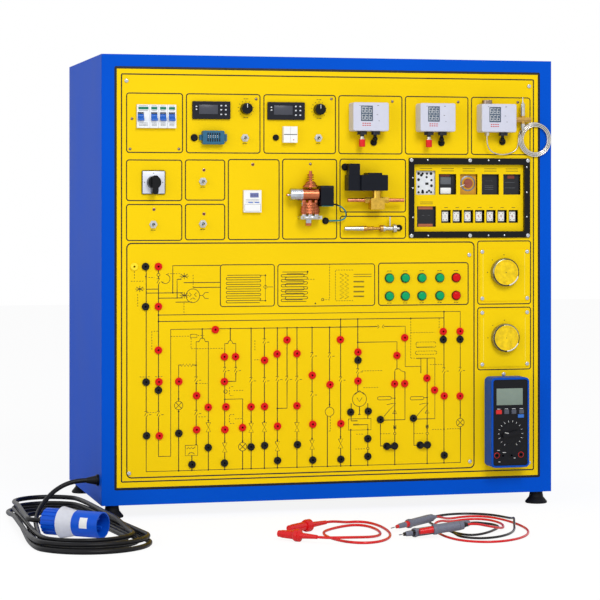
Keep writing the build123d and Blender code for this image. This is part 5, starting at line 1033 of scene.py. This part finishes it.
# ------------------------------------------------------------------------------------------
# Test leads: a red and a black lead with needle probes in grey-blue sleeves at one end and
# sleeved plugs at the other, crossing over each other on the floor. The cones next to the
# tips are red or black, as their lead is.
lead_black = finish("lead_black", (14, 14, 18), 0.26, mottle=0.08, patch=14, grain=0.006,
                    coat=0.1)
red_probe = ((30, -500, 8.8), (128, -437, 16))
black_probe = ((20, -584, 8.8), (98, -550, 10.8))
red_jack = ((59, -584, 13.5), (141.6, -581.6, 22))
black_jack = ((148, -476, 5.6), (196, -452, 5.6))
low = 2.2
red_route = [
    red_probe[1], past(*red_probe, 14), (156, -411, 12), (172, -386, 6), (192, -362, low),
    (218, -345, low), (244, -342, low), (266, -357, low), (279, -388, low), (286, -430, low),
    (288, -480, low), (283, -532, low), (268, -580, low), (244, -620, low), (212, -650, low),
    (176, -664, low), (143, -656, low), (119, -630, low), (109, -592, low), (108, -552, low),
    (110, -512, low), (117, -482, 5), (128, -459, 10), (147, -438, 10), (166, -418, 5),
    (186, -396, low), (212, -380, low), (238, -380, low), (254, -397, low), (261, -426, low),
    (260, -458, low), (250, -494, low), (235, -527, 5.5), (214, -554, 11), (190, -572, 17.5),
    (170, -580, 22.6), past(*red_jack, 13), red_jack[1]]
black_route = [
    black_jack[1], past(*black_jack, 15), (225, -441, 3.4), (240, -450, low), (245, -470, low),
    (240, -496, low), (224, -520, low), (205, -545, low), (184, -566, low), (165, -576, low),
    (150, -570, low), (141, -546, low), (136, -515, low), (134, -480, low), (133, -446, low),
    (133, -412, low), (138, -378, low), (152, -347, low), (174, -322, low), (203, -306, low),
    (234, -303, low), (264, -314, low), (286, -338, low), (297, -372, low), (298, -404, 4.5),
    (292, -432, 10), (282, -462, 10), (272, -490, 4.5), (262, -520, low), (246, -556, low),
    (222, -590, low), (192, -613, low), (162, -618, low), (141, -602, low), (133, -580, low),
    (133, -557, 4.2), past(*black_probe, 22), black_probe[1]]
test_red = cord("red_test_lead", red_route, 4.4, lead_red)
test_black = cord("black_test_lead", black_route, 4.4, lead_black)
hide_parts("test_lead_red")
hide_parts("test_lead_black")


def cover(name, end, shares, radii, material):
    """Thin cone laid over a stretch of a lead end, which gives it its own colour."""
    tip, rear = (Vector(point) / 1000 for point in end)
    low_end, high_end = tip.lerp(rear, shares[0]), tip.lerp(rear, shares[1])
    bpy.ops.object.select_all(action="DESELECT")
    bpy.ops.mesh.primitive_cone_add(
        vertices=36, radius1=radii[0] / 1000, radius2=radii[1] / 1000,
        depth=(high_end - low_end).length, location=(low_end + high_end) / 2,
        rotation=(high_end - low_end).to_track_quat("Z", "Y").to_euler())
    piece = bpy.context.object
    piece.name = name
    return set_in(piece, material)


sleeve_grey = finish("sleeve_grey", (112, 116, 132), 0.42, mottle=0.08, patch=8, fine=0.8,
                     specular=0.2)
needle_steel = finish("needle_steel", (206, 204, 200), 0.2, metal=1.0, mottle=0.08, patch=4)
needle, probe_cone, jack_cone = (-0.005, 0.135), (0.128, 0.399), (-0.004, 0.299)
for name, end, shares, radii, material in (
        ("red_probe_needle", red_probe, needle, (0.8, 1.2), needle_steel),
        ("black_probe_needle", black_probe, needle, (0.8, 1.2), needle_steel),
        ("red_probe_cone", red_probe, probe_cone, (3.2, 5.9), lead_red),
        ("black_probe_cone", black_probe, probe_cone, (3.2, 5.9), lead_black),
        ("red_jack_cone", red_jack, jack_cone, (5.2, 6.3), lead_red),
        ("black_jack_cone", black_jack, jack_cone, (4.3, 5.3), lead_black),
        ("red_jack_tail", red_jack, (0.9, 1.1), (8.7, 3.2), lead_black),
        ("red_probe_tail", red_probe, (0.96, 1.1), (7.2, 2.8), sleeve_grey)):
    cover(name, end, shares, radii, material)
dress(sleeve_grey, "test_probes")

# ------------------------------------------------------------------------------------------
# Floor, light and camera: a pale floor that glows a little to the camera, a large soft lamp
# above in front, a weak one on the left, and a level camera far away with a long lens.
bpy.ops.object.select_all(action="DESELECT")
bpy.ops.mesh.primitive_plane_add(size=14, location=(0, 2, 0))
floor = bpy.context.object
floor.name = "floor"
floor_white = finish("floor_white", (246, 247, 250), 0.6, mottle=0.005, patch=900, grain=0.0,
                     fine=30, specular=0.0)
floor_nodes, floor_links = floor_white.node_tree.nodes, floor_white.node_tree.links
glow = floor_nodes.new("ShaderNodeEmission")
glow.inputs["Strength"].default_value = 1.04
glow_share = 0.86
blend = floor_nodes.new("ShaderNodeMixShader")
camera_rays = floor_nodes.new("ShaderNodeLightPath")
seen_glow = maths(floor_nodes, floor_links, "MULTIPLY", camera_rays.outputs["Is Camera Ray"],
                  glow_share)
floor_links.new(seen_glow, blend.inputs["Fac"])
floor_links.new(floor_nodes["Principled BSDF"].outputs[0], blend.inputs[1])
floor_links.new(glow.outputs[0], blend.inputs[2])
floor_links.new(blend.outputs[0], floor_nodes["Material Output"].inputs["Surface"])
floor.data.materials.append(floor_white)
world = bpy.data.worlds.new("studio")
bpy.context.scene.world = world
world.use_nodes = True
sky_nodes, sky_links = world.node_tree.nodes, world.node_tree.links
rays = sky_nodes.new("ShaderNodeLightPath")
seen = maths(sky_nodes, sky_links, "MAXIMUM", rays.outputs["Is Camera Ray"],
             rays.outputs["Is Glossy Ray"])
seen = maths(sky_nodes, sky_links, "MAXIMUM", seen, rays.outputs["Is Transmission Ray"])
strength = sky_nodes.new("ShaderNodeMapRange")
strength.inputs["To Min"].default_value = 0.55
strength.inputs["To Max"].default_value = 1.0
sky_links.new(seen, strength.inputs["Value"])
sky_links.new(strength.outputs[0], sky_nodes["Background"].inputs["Strength"])
sky_nodes["Background"].inputs["Color"].default_value = (1, 1, 1, 1)


def softbox(name, place, aim, size, watts):
    """Large soft lamp that looks at a point."""
    bpy.ops.object.light_add(type="AREA", location=place)
    lamp = bpy.context.object
    lamp.name = name
    lamp.data.size = size
    lamp.data.energy = watts
    lamp.rotation_euler = (Vector(aim) - Vector(place)).to_track_quat("-Z", "Y").to_euler()


cabinet_middle = (0, 0, 0.4)
softbox("key_softbox", (0.3, -4.4, 3.3), cabinet_middle, 1.8, 112)
softbox("fill_softbox", (-3.0, -2.2, 1.4), cabinet_middle, 2.2, 22)
camera_turn = -0.24724517
bpy.ops.object.camera_add(location=(-1.1302, -4.41285, 0.5998),
                          rotation=(math.pi / 2, 0, camera_turn))
camera = bpy.context.object
camera.data.lens = 133.40
camera.data.sensor_width = 36
camera.data.shift_y = -0.15688
bpy.context.scene.camera = camera
bpy.context.scene.view_settings.view_transform = "Standard"
